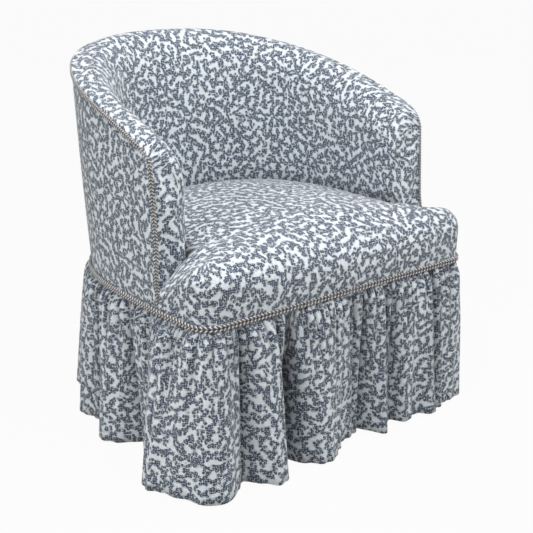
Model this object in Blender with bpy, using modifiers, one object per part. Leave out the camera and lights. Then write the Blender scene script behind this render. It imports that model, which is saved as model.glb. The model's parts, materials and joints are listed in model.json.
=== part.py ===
"""Skirted tub chair: beech frame, sprung seat, padded tub, printed covers, rope braid and gathered skirt.

Metres, +Z up. The chair faces -Y. The tub's straight sides end on its widest line, where its back begins.
"""

import math

import bmesh
import bpy
from mathutils import Vector

# Plan of the chair, measured over the covers at the braid
HALF_WIDTH = 0.326
SEAT_FRONT = 0.237
FRONT_TAPER = 0.010
TUB_BACK = 0.346
BACK_ROUNDNESS = 2.33
CORNER_RADIUS = 0.036

# Heights and slopes
BRAID_HEIGHT = 0.300
RAIL_DEPTH = 0.075
ARM_HEIGHT = 0.571
ARM_FRONT_TOP = 0.098
ARM_FRONT_FOOT = 0.116
BACK_HEIGHT = 0.717
EDGE_CROWN = 0.0092
ARM_CORNER_RADIUS = 0.031
BACK_RAKE = 0.093

# Layers of the tub wall, from the outside in
COVER_THICKNESS = 0.002
WADDING_THICKNESS = 0.0037
WALL_WOOD = 0.028
RAIL_WOOD = 0.038
HESSIAN_THICKNESS = 0.0012
TUB_WALL = 0.074
FIT = 0.0003
COVER_FIT = 0.0006

# Roll along the top of the tub
ROLL_RISE = 0.011
ROLL_CREST = 0.034
ROLL_DROP = 0.055
TOP_RAIL_DEPTH = 0.035
TOP_PAD = 0.020
ROLL_SKIN_SHARE = 1.3

# Seat
SEAT_EDGE_HEIGHT = 0.402
SEAT_CROWN = 0.024
SEAT_ROUND = 0.032
SEAT_BULGE = 0.003
EAR_DROOP = 0.70
EAR_DROOP_REACH = 0.080
SEAT_RIDGE = (-0.170, 0.080)
HESSIAN_RISE = 0.045

# Legs, posts and blocks
LEG_WIDTH = 0.045
LEG_FOOT_WIDTH = 0.0306
REAR_POST_WIDTH = 0.045
REAR_POST_ALONG = 0.293
ARM_POST_SETBACK = 0.006
GLIDE_HEIGHT = 0.008
GLIDE_RADIUS = 0.011
BLOCK_REACH = 0.050
BLOCK_HEIGHT = 0.055
SCREW_RADIUS = 0.0025
SCREW_HEAD_RADIUS = 0.0045
SCREW_HEAD_HEIGHT = 0.003
SCREW_LENGTH = 0.034

# Seat suspension
STRAP_WIDTH = 0.050
STRAP_THICKNESS = 0.0022
STRAP_COLUMN = 0.115
STRAP_ROWS = (-0.120, 0.005, 0.120)
SPRING_END_RADIUS = 0.036
SPRING_WAIST_RADIUS = 0.024
SPRING_TURNS = 4.5
SPRING_WIRE = 0.0017

# Skirt, braid and dust cover
SKIRT_HEADING = 0.008
HEM_HEIGHT = 0.006
SKIRT_THICKNESS = 0.002
GATHER_SWELL = 0.012
FOLD_DEPTH = 0.050
FOLD_FULLNESS = 1.35
BRAID_WIDTH = 0.016
BRAID_DEPTH = 0.0068
DUST_COVER_THICKNESS = 0.0012
DUST_COVER_INSET = 0.010

# Folds of the skirt, from the middle of the front towards the right: each crest's or hollow's place, as a
# share of the way round, and how far the hem stands out there, as a share of FOLD_DEPTH
FOLD_SHARES = (
    (0.005, 0.26), (0.017, -0.16), (0.031, 0.92), (0.050, 0.24), (0.064, 0.72), (0.079, 0.44), (0.096, 1.00),
    (0.113, 0.52), (0.132, 0.56), (0.147, 0.24), (0.159, 0.12), (0.175, 1.04), (0.205, 0.22), (0.227, 1.40),
    (0.256, -0.12), (0.284, 1.10), (0.309, 0.01), (0.331, 0.92), (0.356, 0.10), (0.381, 1.16), (0.409, 0.15),
    (0.440, 0.91), (0.461, 0.15), (0.481, 0.85), (0.506, 0.09), (0.535, 1.04), (0.560, 0.10), (0.583, 0.84),
    (0.624, 1.12), (0.651, 0.04), (0.681, 0.88), (0.708, 0.12), (0.738, 0.92), (0.761, -0.28), (0.797, 0.28),
    (0.812, 1.12), (0.820, 1.46), (0.838, 1.12), (0.854, 0.92), (0.862, 1.14), (0.873, 0.48), (0.885, 0.16),
    (0.905, 1.16), (0.911, 1.10), (0.919, 0.20), (0.933, -0.36), (0.944, 0.52), (0.959, 1.14), (0.972, 0.92),
    (0.986, 0.32),
)

# Facets: spans along the tub's sides and back, and points round an arc
CORNER_STEPS = 4
ARM_STEPS = 6
BACK_SIDE_SPANS = 6
BACK_MIDDLE_SPANS = 10
FRONT_SPANS = 4
FOLD_POINTS = 3

# Places that follow from the sizes above
RAIL_BOTTOM = BRAID_HEIGHT - RAIL_DEPTH
WOOD_OUT = COVER_THICKNESS + COVER_FIT + WADDING_THICKNESS + FIT
WOOD_IN = WOOD_OUT + WALL_WOOD
RAIL_IN = WOOD_OUT + RAIL_WOOD
DECK = BRAID_HEIGHT + FIT
DECK_TOP = DECK + HESSIAN_THICKNESS + COVER_FIT
STRAP_TOP = RAIL_BOTTOM - FIT
COVER_FOOT = RAIL_BOTTOM - 0.006
PAD_SKIN = COVER_THICKNESS + COVER_FIT
SEAT_BACK_INSET = TUB_WALL + COVER_FIT

COLLECTION = bpy.data.collections.new("tub_chair")
CUTTERS = bpy.data.collections.new("cutters")


def material(name, colour, roughness, metallic=0.0):
    made = bpy.data.materials.new(name)
    made.use_nodes = True
    shader = made.node_tree.nodes["Principled BSDF"]
    shader.inputs["Base Color"].default_value = (*colour, 1.0)
    shader.inputs["Roughness"].default_value = roughness
    shader.inputs["Metallic"].default_value = metallic
    return made


PRINT = material("printed_linen", (0.42, 0.47, 0.55), 0.85)
ROPE = material("rope_braid", (0.40, 0.35, 0.32), 0.80)
BEECH = material("beech", (0.60, 0.42, 0.25), 0.55)
FOAM = material("foam", (0.80, 0.76, 0.62), 0.95)
WADDING = material("wadding", (0.82, 0.82, 0.80), 0.95)
HESSIAN = material("hessian", (0.45, 0.34, 0.20), 0.90)
JUTE = material("jute_webbing", (0.50, 0.38, 0.24), 0.90)
STEEL = material("spring_steel", (0.45, 0.40, 0.36), 0.40, 1.0)
CAMBRIC = material("black_cambric", (0.03, 0.03, 0.03), 0.90)
NYLON = material("nylon_glide", (0.10, 0.09, 0.08), 0.45)


def place(mesh, name, finish, parent):
    """Links a mesh as one named part under the chair's empty."""
    mesh.materials.append(finish)
    part = bpy.data.objects.new(name, mesh)
    part.parent = parent
    COLLECTION.objects.link(part)
    return part


# Plan curve of the tub

def arm_front(z):
    """How far ahead of the widest line the arm's front stands: it leans back as it rises from the braid."""
    lean = (ARM_FRONT_FOOT - ARM_FRONT_TOP) / (ARM_HEIGHT - BRAID_HEIGHT)
    return ARM_FRONT_FOOT - lean * max(0.0, z - BRAID_HEIGHT)


def tapered(point):
    """A plan point drawn in sideways where it lies ahead of the arms: the seat narrows to its front."""
    share = (-point.y - ARM_FRONT_FOOT) / (SEAT_FRONT - ARM_FRONT_FOOT)
    narrow = 1 - FRONT_TAPER / HALF_WIDTH * min(max(share, 0.0), 1.0)
    return Vector((point.x * narrow, *point[1:]))


def lean_back(z):
    """How far the whole back has shifted backwards at a height, so that its facets stay flat."""
    return BACK_RAKE * (z - BRAID_HEIGHT)


def back_point(angle, inset, z):
    """A point on the back's curve, pushed inwards by inset along the curve's own normal."""
    power = 2 / BACK_ROUNDNESS
    across = math.copysign(abs(math.cos(angle)) ** power, math.cos(angle))
    along = abs(math.sin(angle)) ** power
    normal = Vector((
        math.copysign(abs(across) ** (BACK_ROUNDNESS - 1), across) / HALF_WIDTH,
        along ** (BACK_ROUNDNESS - 1) / TUB_BACK,
    )).normalized()
    return Vector((HALF_WIDTH * across, TUB_BACK * along + lean_back(z))) - inset * normal


def back_angles():
    """Angles of the stations round the back: even lengths of curve, with the rear posts' edges among them."""
    steps = 2000
    angles = [math.pi * (1 - k / steps) for k in range(steps + 1)]
    points = [back_point(a, 0, BRAID_HEIGHT) for a in angles]
    reached = [0.0]
    for first, second in zip(points, points[1:]):
        reached.append(reached[-1] + (second - first).length)
    total = reached[-1]
    edges = [REAR_POST_ALONG - REAR_POST_WIDTH / 2, REAR_POST_ALONG + REAR_POST_WIDTH / 2]
    wanted = [edges[0] * k / BACK_SIDE_SPANS for k in range(1, BACK_SIDE_SPANS + 1)]
    middle = total - 2 * edges[1]
    wanted += [edges[1] + middle * k / BACK_MIDDLE_SPANS for k in range(BACK_MIDDLE_SPANS + 1)]
    wanted += [total - length for length in reversed(wanted[:BACK_SIDE_SPANS])]
    found = []
    k = 0
    for length in wanted:
        while reached[k + 1] < length:
            k += 1
        share = (length - reached[k]) / (reached[k + 1] - reached[k])
        found.append(angles[k] + share * (angles[k + 1] - angles[k]))
    return found


SIDE_SHARES = [
    ARM_CORNER_RADIUS * (1 - math.cos(math.pi / 2 * k / ARM_STEPS)) / ARM_FRONT_TOP
    for k in range(ARM_STEPS + 1)
] + [1.0]
BACK_ANGLES = back_angles()
STATIONS = (
    [("left", share) for share in SIDE_SHARES]
    + [("back", angle) for angle in BACK_ANGLES]
    + [("right", share) for share in reversed(SIDE_SHARES)]
)
LAST = len(STATIONS) - 1
LEFT_CORNER = len(SIDE_SHARES) - 1
REAR_POST = LEFT_CORNER + BACK_SIDE_SPANS


def station_point(k, inset, z):
    kind, value = STATIONS[k]
    if kind == "back":
        return back_point(value, inset, z)
    side = -1 if kind == "left" else 1
    return Vector((side * (HALF_WIDTH - inset), (value - 1) * arm_front(z) + value * lean_back(z)))


def tub_point(t, inset, z):
    """A point on the tub's wall. t counts stations from the left arm's front to the right's."""
    k = min(int(t), LAST - 1)
    point = station_point(k, inset, z).lerp(station_point(k + 1, inset, z), t - k)
    return Vector((*point, z))


def slope_height(k):
    """Height of the edge that slopes from arm to back, at a station, before the arm's corner is rounded."""
    run = ARM_FRONT_TOP + TUB_BACK + lean_back(BACK_HEIGHT)
    z = ARM_HEIGHT
    for _ in range(12):
        share = (station_point(k, 0, z).y + ARM_FRONT_TOP) / run
        z = ARM_HEIGHT + (BACK_HEIGHT - ARM_HEIGHT) * share + 4 * EDGE_CROWN * share * (1 - share)
    return z


def between(values, t):
    k = min(int(t), LAST - 1)
    return values[k] + (values[k + 1] - values[k]) * (t - k)


def corner_drop(distance, skin):
    """How far the rounded front corner falls below the slope, for a layer inside the cover by skin."""
    radius = ARM_CORNER_RADIUS - skin
    short = min(radius, max(0.0, ARM_CORNER_RADIUS - distance))
    return radius - math.sqrt(radius ** 2 - short ** 2)


SLOPES = [slope_height(k) for k in range(LAST + 1)]
DISTANCES = [ARM_FRONT_TOP * (1.0 if kind == "back" else value) for kind, value in STATIONS]
EDGES = [slope - corner_drop(distance, 0.0) for slope, distance in zip(SLOPES, DISTANCES)]


def edge_height(t, skin=0.0):
    """Height of the braided outer edge, or of a layer's edge inside the cover by skin."""
    if skin == 0.0:
        return between(EDGES, t)
    return between(SLOPES, t) - corner_drop(between(DISTANCES, t), skin)


def from_front(distance):
    """The station count at a distance behind the left arm's front, measured at the arm's top."""
    share = distance / ARM_FRONT_TOP
    k = max(i for i in range(LEFT_CORNER) if SIDE_SHARES[i] <= share)
    return k + (share - SIDE_SHARES[k]) / (SIDE_SHARES[k + 1] - SIDE_SHARES[k])


def span(first, last):
    """first, last and the stations between them."""
    inner = [k for k in range(LAST + 1) if first + 1e-6 < k < last - 1e-6]
    return [first, *inner, last]


def trimmed(t, gap):
    """t moved along the wall by a gap in metres, at the height of the braid."""
    k = min(int(t), LAST - 1) if gap > 0 else max(math.ceil(t) - 1, 0)
    run = (station_point(k + 1, 0, BRAID_HEIGHT) - station_point(k, 0, BRAID_HEIGHT)).length
    return t + gap / run


# Mesh helpers

def loft(sections, closed=False, caps=True):
    """A mesh through loops of points, each joined to the next; closed joins the last to the first."""
    shape = bmesh.new()
    rings = [[shape.verts.new(point) for point in section] for section in sections]
    pairs = list(zip(rings, rings[1:])) + ([(rings[-1], rings[0])] if closed else [])
    for first, second in pairs:
        for k in range(len(first)):
            j = (k + 1) % len(first)
            shape.faces.new((first[k], first[j], second[j], second[k]))
    if caps and not closed:
        shape.faces.new(reversed(rings[0]))
        shape.faces.new(rings[-1])
    bmesh.ops.recalc_face_normals(shape, faces=shape.faces)
    return finished(shape)


def finished(shape):
    mesh = bpy.data.meshes.new("shape")
    shape.to_mesh(mesh)
    shape.free()
    mesh.shade_smooth()
    mesh.set_sharp_from_angle(angle=math.radians(35))
    return mesh


def tub_strip(first, last, outer, inner, low, high):
    """A strip of the tub's wall between two insets, from a low to a high line along it."""
    return loft([
        [tub_point(t, outer, low(t)), tub_point(t, outer, high(t)),
         tub_point(t, inner, high(t)), tub_point(t, inner, low(t))]
        for t in span(first, last)
    ])


def prism(outline, low, high):
    return loft([[Vector((*point, z)) for point in outline] for z in (low, high)])


def box(low, high):
    (x0, y0, z0), (x1, y1, z1) = low, high
    return prism([Vector((x0, y0)), Vector((x1, y0)), Vector((x1, y1)), Vector((x0, y1))], z0, z1)


def turned(profile, sides=12):
    """A solid of revolution about Z from (radius, height) pairs."""
    return loft([
        [Vector((radius * math.cos(math.tau * k / sides), radius * math.sin(math.tau * k / sides), z))
         for k in range(sides)]
        for radius, z in profile
    ])


def solidify(part, thickness, offset):
    shell = part.modifiers.new("cloth", "SOLIDIFY")
    shell.thickness = thickness
    shell.offset = offset
    shell.use_even_offset = True
    shell.use_quality_normals = True


def cut(part, cutter_mesh, name, matrix=None):
    """Takes a cutter's shape out of a part."""
    cutter = bpy.data.objects.new(name, cutter_mesh)
    cutter.parent = part.parent
    if matrix is not None:
        cutter.matrix_local = matrix
    cutter.hide_render = True
    cutter.display_type = "WIRE"
    CUTTERS.objects.link(cutter)
    hole = part.modifiers.new(name, "BOOLEAN")
    hole.object = cutter
    hole.operation = "DIFFERENCE"


def constant(value):
    return lambda t: value


def below_edge(drop):
    return lambda t: edge_height(t) - drop


# Beech frame

def corner_section(side, z, scale=1.0):
    """A front leg's section: square, with its outer corner rounded to follow the seat's corner."""
    near = WOOD_OUT
    far = WOOD_OUT + LEG_WIDTH
    round_off = CORNER_RADIUS - WOOD_OUT
    points = [(far, near), (far, far), (near, far)]
    for k in range(CORNER_STEPS + 1):
        angle = math.pi / 2 * k / CORNER_STEPS
        points.append(tuple(CORNER_RADIUS - round_off * turn for turn in (math.cos(angle), math.sin(angle))))
    middle = near + LEG_WIDTH / 2
    scaled = [(middle + scale * (a - middle), middle + scale * (b - middle)) for a, b in points]
    return [tapered(Vector((side * (HALF_WIDTH - a), b - SEAT_FRONT, z))) for a, b in scaled]


def front_legs(chair):
    for side, word in ((-1, "left"), (1, "right")):
        levels = [(GLIDE_HEIGHT, LEG_FOOT_WIDTH / LEG_WIDTH), (COVER_FOOT, 1.0), (BRAID_HEIGHT, 1.0)]
        leg = loft([corner_section(side, z, scale) for z, scale in levels])
        place(leg, f"front_{word}_leg", BEECH, chair)


def post_ring(first, last, inner, low_height):
    corners = [(first, WOOD_OUT), (last, WOOD_OUT), (last, inner), (first, inner)]
    return [tub_point(t, inset, low_height(t)) for t, inset in corners]


def tapered_foot(ring, z, scale):
    middle = sum(ring, Vector()) / len(ring)
    return [Vector((*(middle + scale * (point - middle)).xy, z)) for point in ring]


def rear_posts(chair):
    """Each rear leg runs on up as a post of the back."""
    for first, word in ((REAR_POST, "left"), (LAST - REAR_POST - 1, "right")):
        top = post_ring(first, first + 1, WOOD_IN, below_edge(TOP_PAD + TOP_RAIL_DEPTH + FIT))
        knee = post_ring(first, first + 1, WOOD_IN, constant(COVER_FOOT))
        leg = loft([tapered_foot(knee, GLIDE_HEIGHT, LEG_FOOT_WIDTH / LEG_WIDTH), knee, top])
        place(leg, f"rear_{word}_leg_post", BEECH, chair)


def arm_posts(chair):
    front = from_front(ARM_POST_SETBACK)
    back = from_front(ARM_CORNER_RADIUS)
    for first, last, word in ((front, back, "left"), (LAST - back, LAST - front, "right")):
        post = tub_strip(first, last, WOOD_OUT, WOOD_IN, constant(BRAID_HEIGHT + FIT),
                         lambda t: arm_rail_bottom(t) - FIT)
        place(post, f"{word}_arm_post", BEECH, chair)


def arm_rail_bottom(t):
    """The top rail's underside keeps to the arm's slope under its rounded front corner."""
    return between(SLOPES, t) - TOP_PAD - TOP_RAIL_DEPTH


def top_rails(chair):
    front = from_front(ARM_POST_SETBACK)
    joint = REAR_POST + 0.5
    spans = {
        "left_arm_rail": (front, trimmed(joint, -FIT / 2)),
        "back_top_rail": (trimmed(joint, FIT / 2), trimmed(LAST - joint, -FIT / 2)),
        "right_arm_rail": (trimmed(LAST - joint, FIT / 2), LAST - front),
    }
    for name, (first, last) in spans.items():
        rail = tub_strip(first, last, WOOD_OUT, WOOD_IN, arm_rail_bottom, below_edge(TOP_PAD))
        place(rail, name, BEECH, chair)


def side_rail_mesh(side):
    """A side rail runs straight from the front leg, then round the curve to the rear post."""
    start = -SEAT_FRONT + WOOD_OUT + LEG_WIDTH + FIT
    end = trimmed(REAR_POST, -FIT)
    corners = [(inset, z) for z in (RAIL_BOTTOM, BRAID_HEIGHT) for inset in (WOOD_OUT, RAIL_IN)]
    corners = [corners[k] for k in (0, 2, 3, 1)]
    sections = [[tub_point(t, inset, z) for inset, z in corners] for t in (0, *span(LEFT_CORNER, end))]
    sections.insert(0, [tapered(Vector((point.x, start, point.z))) for point in sections[0]])
    return loft([[Vector((-side * point.x, *point.yz)) for point in ring] for ring in sections])


def seat_rails(chair):
    reach = HALF_WIDTH - FRONT_TAPER - WOOD_OUT - LEG_WIDTH - FIT
    front = box((-reach, -SEAT_FRONT + WOOD_OUT, RAIL_BOTTOM), (reach, -SEAT_FRONT + RAIL_IN, BRAID_HEIGHT))
    place(front, "front_seat_rail", BEECH, chair)
    for side, word in ((-1, "left"), (1, "right")):
        place(side_rail_mesh(side), f"{word}_seat_rail", BEECH, chair)
    first = trimmed(REAR_POST + 1, FIT)
    rear = tub_strip(first, LAST - first, WOOD_OUT, RAIL_IN, constant(RAIL_BOTTOM), constant(BRAID_HEIGHT))
    place(rear, "rear_seat_rail", BEECH, chair)


BLOCK_LOW = BRAID_HEIGHT - RAIL_DEPTH / 2 - BLOCK_HEIGHT / 2


def screw_profile(clearance):
    """Radii and heights of a wood screw that points down -Z, with its head at the top."""
    shank = SCREW_RADIUS + clearance
    head = SCREW_HEAD_RADIUS + clearance
    return [
        (shank * 0.4, -SCREW_LENGTH - clearance), (shank, -SCREW_LENGTH * 0.8),
        (shank, -SCREW_HEAD_HEIGHT - clearance), (head, 0.0),
    ]


def drill_profile(clearance):
    """The screw's hole: the screw with clearance, and a counterbore that runs on out behind its head."""
    return screw_profile(clearance) + [(SCREW_HEAD_RADIUS + clearance, BLOCK_REACH)]


def drive_screw(name, head, direction, parts, chair):
    """Sets one screw with its head's top at a point, and bores the pieces that it passes through."""
    turn = Vector((0, 0, -1)).rotation_difference(direction)
    matrix = turn.to_matrix().to_4x4()
    matrix.translation = head
    screw = place(turned(screw_profile(0.0), sides=8), name, STEEL, chair)
    screw.matrix_local = matrix
    for k, part in enumerate(parts):
        cut(part, turned(drill_profile(FIT), sides=8), f"{name}_bore_{k}", matrix)


def front_blocks(chair):
    """A notched triangular block behind each front leg, screwed to both rails."""
    rail = RAIL_IN + FIT
    leg = WOOD_OUT + LEG_WIDTH + FIT
    tip = leg + BLOCK_REACH
    outline = [(rail, leg), (rail, tip), (tip, rail), (leg, rail), (leg, leg)]
    height = BLOCK_LOW + BLOCK_HEIGHT / 2
    sunk = BLOCK_REACH * 0.42
    for side, word in ((-1, "left"), (1, "right")):
        corner = [tapered(Vector((side * (HALF_WIDTH - a), -SEAT_FRONT + b))) for a, b in outline]
        solid = prism(corner, BLOCK_LOW, BLOCK_LOW + BLOCK_HEIGHT)
        block = place(solid, f"front_{word}_block", BEECH, chair)
        across = leg + BLOCK_REACH * 0.32
        spots = ((across, rail + sunk, height - 0.012), (rail + sunk, across, height + 0.012))
        heads = [tapered(Vector((side * (HALF_WIDTH - a), b - SEAT_FRONT, z))) for a, b, z in spots]
        front_rail = bpy.data.objects["front_seat_rail"]
        side_rail = bpy.data.objects[f"{word}_seat_rail"]
        drive_screw(f"front_{word}_block_screw_a", heads[0], Vector((0, -1, 0)), (block, front_rail), chair)
        drive_screw(f"front_{word}_block_screw_b", heads[1], Vector((side, 0, 0)), (block, side_rail), chair)


def rear_blocks(chair):
    """A curved block inside each rear joint, screwed to the rails on both sides of the post."""
    outer = RAIL_IN + FIT
    inner = outer + BLOCK_REACH * 0.44
    height = BLOCK_LOW + BLOCK_HEIGHT / 2
    reach = 0.85
    for first, word, rails in (
        (REAR_POST, "left", ("left_seat_rail", "rear_seat_rail")),
        (LAST - REAR_POST - 1, "right", ("rear_seat_rail", "right_seat_rail")),
    ):
        low, high = constant(BLOCK_LOW), constant(BLOCK_LOW + BLOCK_HEIGHT)
        block = place(tub_strip(first - reach, first + 1 + reach, outer, inner, low, high),
                      f"rear_{word}_block", BEECH, chair)
        for t, letter, rail in ((first - reach / 2, "a", rails[0]), (first + 1 + reach / 2, "b", rails[1])):
            head = tub_point(t, inner - SCREW_HEAD_HEIGHT / 2, height)
            direction = (tub_point(t, outer, height) - head).normalized()
            bored = (block, bpy.data.objects[rail])
            drive_screw(f"rear_{word}_block_screw_{letter}", head, direction, bored, chair)


def glides(chair):
    wide = GLIDE_RADIUS
    profile = [(wide * 0.85, 0.0), (wide, GLIDE_HEIGHT * 0.3), (wide, GLIDE_HEIGHT - FIT)]
    for name in ("front_left_leg", "front_right_leg", "rear_left_leg_post", "rear_right_leg_post"):
        foot = [v.co for v in bpy.data.objects[name].data.vertices if v.co.z < GLIDE_HEIGHT + FIT]
        low = [min(point[axis] for point in foot) for axis in (0, 1)]
        high = [max(point[axis] for point in foot) for axis in (0, 1)]
        corner = name.replace("_leg", "").replace("_post", "")
        glide = place(turned(profile), f"{corner}_glide", NYLON, chair)
        glide.location = ((low[0] + high[0]) / 2, (low[1] + high[1]) / 2, 0)


# Seat suspension

def rail_reach(y):
    """Half the seat's width at a line across it, to the middle of the side rails."""
    middle = (WOOD_OUT + RAIL_IN) / 2
    if y <= 0:
        return HALF_WIDTH - middle
    share = min(1.0, y / (TUB_BACK - middle))
    return (HALF_WIDTH - middle) * (1 - share ** BACK_ROUNDNESS) ** (1 / BACK_ROUNDNESS)


def rail_back(x):
    """How far back the rear rail's middle lies at a line along the seat."""
    middle = (WOOD_OUT + RAIL_IN) / 2
    share = abs(x) / (HALF_WIDTH - middle)
    reach = (TUB_BACK - middle) * (1 - share ** BACK_ROUNDNESS) ** (1 / BACK_ROUNDNESS)
    return reach + lean_back(STRAP_TOP)


def webbing(chair):
    """Jute straps under the rails: one layer runs front to back and the next side to side."""
    half = STRAP_WIDTH / 2
    front = -SEAT_FRONT + (WOOD_OUT + RAIL_IN) / 2
    for x, word in ((-STRAP_COLUMN, "left"), (0.0, "middle"), (STRAP_COLUMN, "right")):
        back = rail_back(abs(x) + half)
        strap = box((x - half, front, STRAP_TOP - STRAP_THICKNESS), (x + half, back, STRAP_TOP))
        place(strap, f"lengthwise_strap_{word}", JUTE, chair)
    top = STRAP_TOP - STRAP_THICKNESS - FIT
    for y, word in zip(STRAP_ROWS, ("front", "middle", "rear")):
        reach = rail_reach(y + half)
        strap = box((-reach, y - half, top - STRAP_THICKNESS), (reach, y + half, top))
        place(strap, f"crosswise_strap_{word}", JUTE, chair)


SPRING_FOOT = STRAP_TOP + FIT
SPRING_TOP = DECK + HESSIAN_RISE - FIT


def springs(chair):
    """Five waisted coil springs, one over each of five strap crossings."""
    points = 9
    count = int(SPRING_TURNS * points) + 1
    height = SPRING_TOP - SPRING_FOOT - 2 * SPRING_WIRE
    route = []
    for k in range(count):
        share = k / (count - 1)
        angle = math.tau * SPRING_TURNS * share
        waist = (2 * share - 1) ** 2
        radius = SPRING_WAIST_RADIUS + (SPRING_END_RADIUS - SPRING_WAIST_RADIUS) * waist
        level = SPRING_WIRE + height * share
        route.append(Vector((radius * math.cos(angle), radius * math.sin(angle), level)))
    far = [(a - b).length for i, a in enumerate(route) for b in route[i + points - 2:i + points + 3]]
    print(f"spring: least gap between turns {1000 * (min(far) - 2 * SPRING_WIRE):.1f} mm")
    spots = {
        "front_left": (-STRAP_COLUMN, STRAP_ROWS[0]), "front_right": (STRAP_COLUMN, STRAP_ROWS[0]),
        "middle": (0.0, STRAP_ROWS[1]),
        "rear_left": (-STRAP_COLUMN, STRAP_ROWS[2]), "rear_right": (STRAP_COLUMN, STRAP_ROWS[2]),
    }
    for word, (x, y) in spots.items():
        wire = bpy.data.curves.new(f"{word}_spring", "CURVE")
        wire.dimensions = "3D"
        wire.bevel_depth = SPRING_WIRE
        wire.bevel_resolution = 1
        wire.use_fill_caps = True
        coil = wire.splines.new("POLY")
        coil.points.add(len(route) - 1)
        for point, spot in zip(coil.points, route):
            point.co = (*spot, 1.0)
        spring = place(wire, f"{word}_spring", STEEL, chair)
        spring.location = (x, y, SPRING_FOOT)


# Seat outline: ears in front of the arms, and the tub's inner wall behind them

SEAT_PATH = [float(LEFT_CORNER), *range(LEFT_CORNER + 1, LAST - LEFT_CORNER), float(LAST - LEFT_CORNER)]


def seat_outline(front_inset, back_inset, setback, z):
    """A loop round the seat at a height: front edge, corners, ears and the tub's inner wall."""
    low_z = min(z, SEAT_EDGE_HEIGHT)
    ear = -arm_front(low_z) - setback
    radius = CORNER_RADIUS - front_inset if CORNER_RADIUS > front_inset else 0.004
    centre = front_inset + radius
    points = []
    for k in range(CORNER_STEPS + 1):
        angle = math.pi / 2 * k / CORNER_STEPS
        across, along = centre - radius * math.cos(angle), centre - radius * math.sin(angle)
        points.append(Vector((across - HALF_WIDTH, along - SEAT_FRONT)))
    run = 2 * (HALF_WIDTH - centre)
    for k in range(1, FRONT_SPANS):
        points.append(Vector((-HALF_WIDTH + centre + run * k / FRONT_SPANS, -SEAT_FRONT + front_inset)))
    points += [Vector((-point.x, point.y)) for point in reversed(points[:CORNER_STEPS + 1])]
    ears = [(front_inset, ear - EAR_LAP), (front_inset, ear), (back_inset, ear)]
    points += [Vector((HALF_WIDTH - inset, y)) for inset, y in ears]
    points += [tub_point(t, back_inset, low_z).xy for t in reversed(SEAT_PATH)]
    points += [Vector((inset - HALF_WIDTH, y)) for inset, y in reversed(ears)]
    return [tapered(point) for point in points]


EAR_LAP = 0.006
FRONT_POINTS = 2 * (CORNER_STEPS + 1) + FRONT_SPANS - 1
OUTLINE_POINTS = FRONT_POINTS + 6 + len(SEAT_PATH)


def hangs(k):
    """Whether the cover hangs down the outside of the rails at a point of the seat's outline."""
    return k <= FRONT_POINTS or k == OUTLINE_POINTS - 1


def shrunk(points, share):
    """The outline drawn in towards a line along the seat's middle."""
    made = []
    for k, point in enumerate(points):
        in_tub = FRONT_POINTS + 3 <= k < OUTLINE_POINTS - 3
        middle = min(max(point.y, SEAT_RIDGE[0]), SEAT_RIDGE[1]) if in_tub else SEAT_RIDGE[0]
        made.append(Vector((share * point.x, middle + share * (point.y - middle))))
    return made


def crown(point):
    """The seat's doming at a point, from none at its edges to one in the middle."""
    depth = (TUB_BACK - TUB_WALL + SEAT_FRONT) / 2
    middle = depth - SEAT_FRONT
    across = min(1.0, abs(point.x) / HALF_WIDTH)
    along = min(1.0, abs(point.y - middle) / depth)
    return (1 - across ** 2) * (1 - along ** 2)


def raised(points, z):
    return [Vector((*point, z)) for point in points]


def drooped(points, droop):
    """A loop lowered where the ears are pulled down against the arms' fronts, which lean out there."""
    made = []
    for point in points:
        outer = min(max(1 - (HALF_WIDTH - abs(point.x)) / TUB_WALL, 0.0), 1.0)
        rear = min(max(1 - (-ARM_FRONT_FOOT - point.y) / EAR_DROOP_REACH, 0.0), 1.0)
        share = outer * rear * (point.y < -ARM_FRONT_TOP)
        z = point.z - droop * share * max(0.0, point.z - DECK_TOP - 0.01)
        y = point.y - share * (arm_front(z) - arm_front(min(point.z, SEAT_EDGE_HEIGHT - SEAT_ROUND)))
        made.append(Vector((point.x, min(y, point.y), z)))
    return made


def seat_levels(skin):
    """Loops up the seat's side and over its crown, inside the cover's outer face by skin."""
    setback = COVER_FIT + 2 * skin
    back = SEAT_BACK_INSET + skin
    wall_top = SEAT_EDGE_HEIGHT - SEAT_ROUND
    levels = [raised(seat_outline(skin - SEAT_BULGE, back, setback, wall_top - 0.02), wall_top - 0.02)]
    for share in (0.0, 0.33, 0.66, 1.0):
        angle = math.pi / 2 * share
        inset = (SEAT_ROUND - skin) * (1 - math.cos(angle)) + skin
        z = wall_top + (SEAT_ROUND - skin) * math.sin(angle)
        bulge = SEAT_BULGE * (1 - share)
        loop = seat_outline(inset - bulge, back + inset - skin, setback + inset - skin, wall_top)
        levels.append(raised(loop, z))
    rim = [point.xy for point in levels[-1]]
    for share in (0.82, 0.6, 0.35, 0.1):
        level = SEAT_EDGE_HEIGHT - skin * (2 - share)
        levels.append([
            Vector((*point, level + SEAT_CROWN * crown(point) * (1 - share ** 4)))
            for point in shrunk(rim, share)
        ])
    droop = EAR_DROOP if skin == 0.0 else 1.2 * EAR_DROOP
    return [drooped(level, droop) for level in levels]


def seat_cover(chair):
    """Printed cover of the tight seat, pulled down over the front rail and tucked in beside the tub."""
    levels = seat_levels(0.0)
    foot = seat_outline(0.0, SEAT_BACK_INSET, COVER_FIT, BRAID_HEIGHT)
    tuck = DECK_TOP + FIT
    tucked = [Vector((*point, COVER_FOOT if hangs(k) else tuck)) for k, point in enumerate(foot)]
    waist = raised(foot, BRAID_HEIGHT + SKIRT_HEADING)
    cover = place(open_loft([tucked, waist, *levels]), "seat_cover", PRINT, chair)
    solidify(cover, COVER_THICKNESS, -1)


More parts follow.
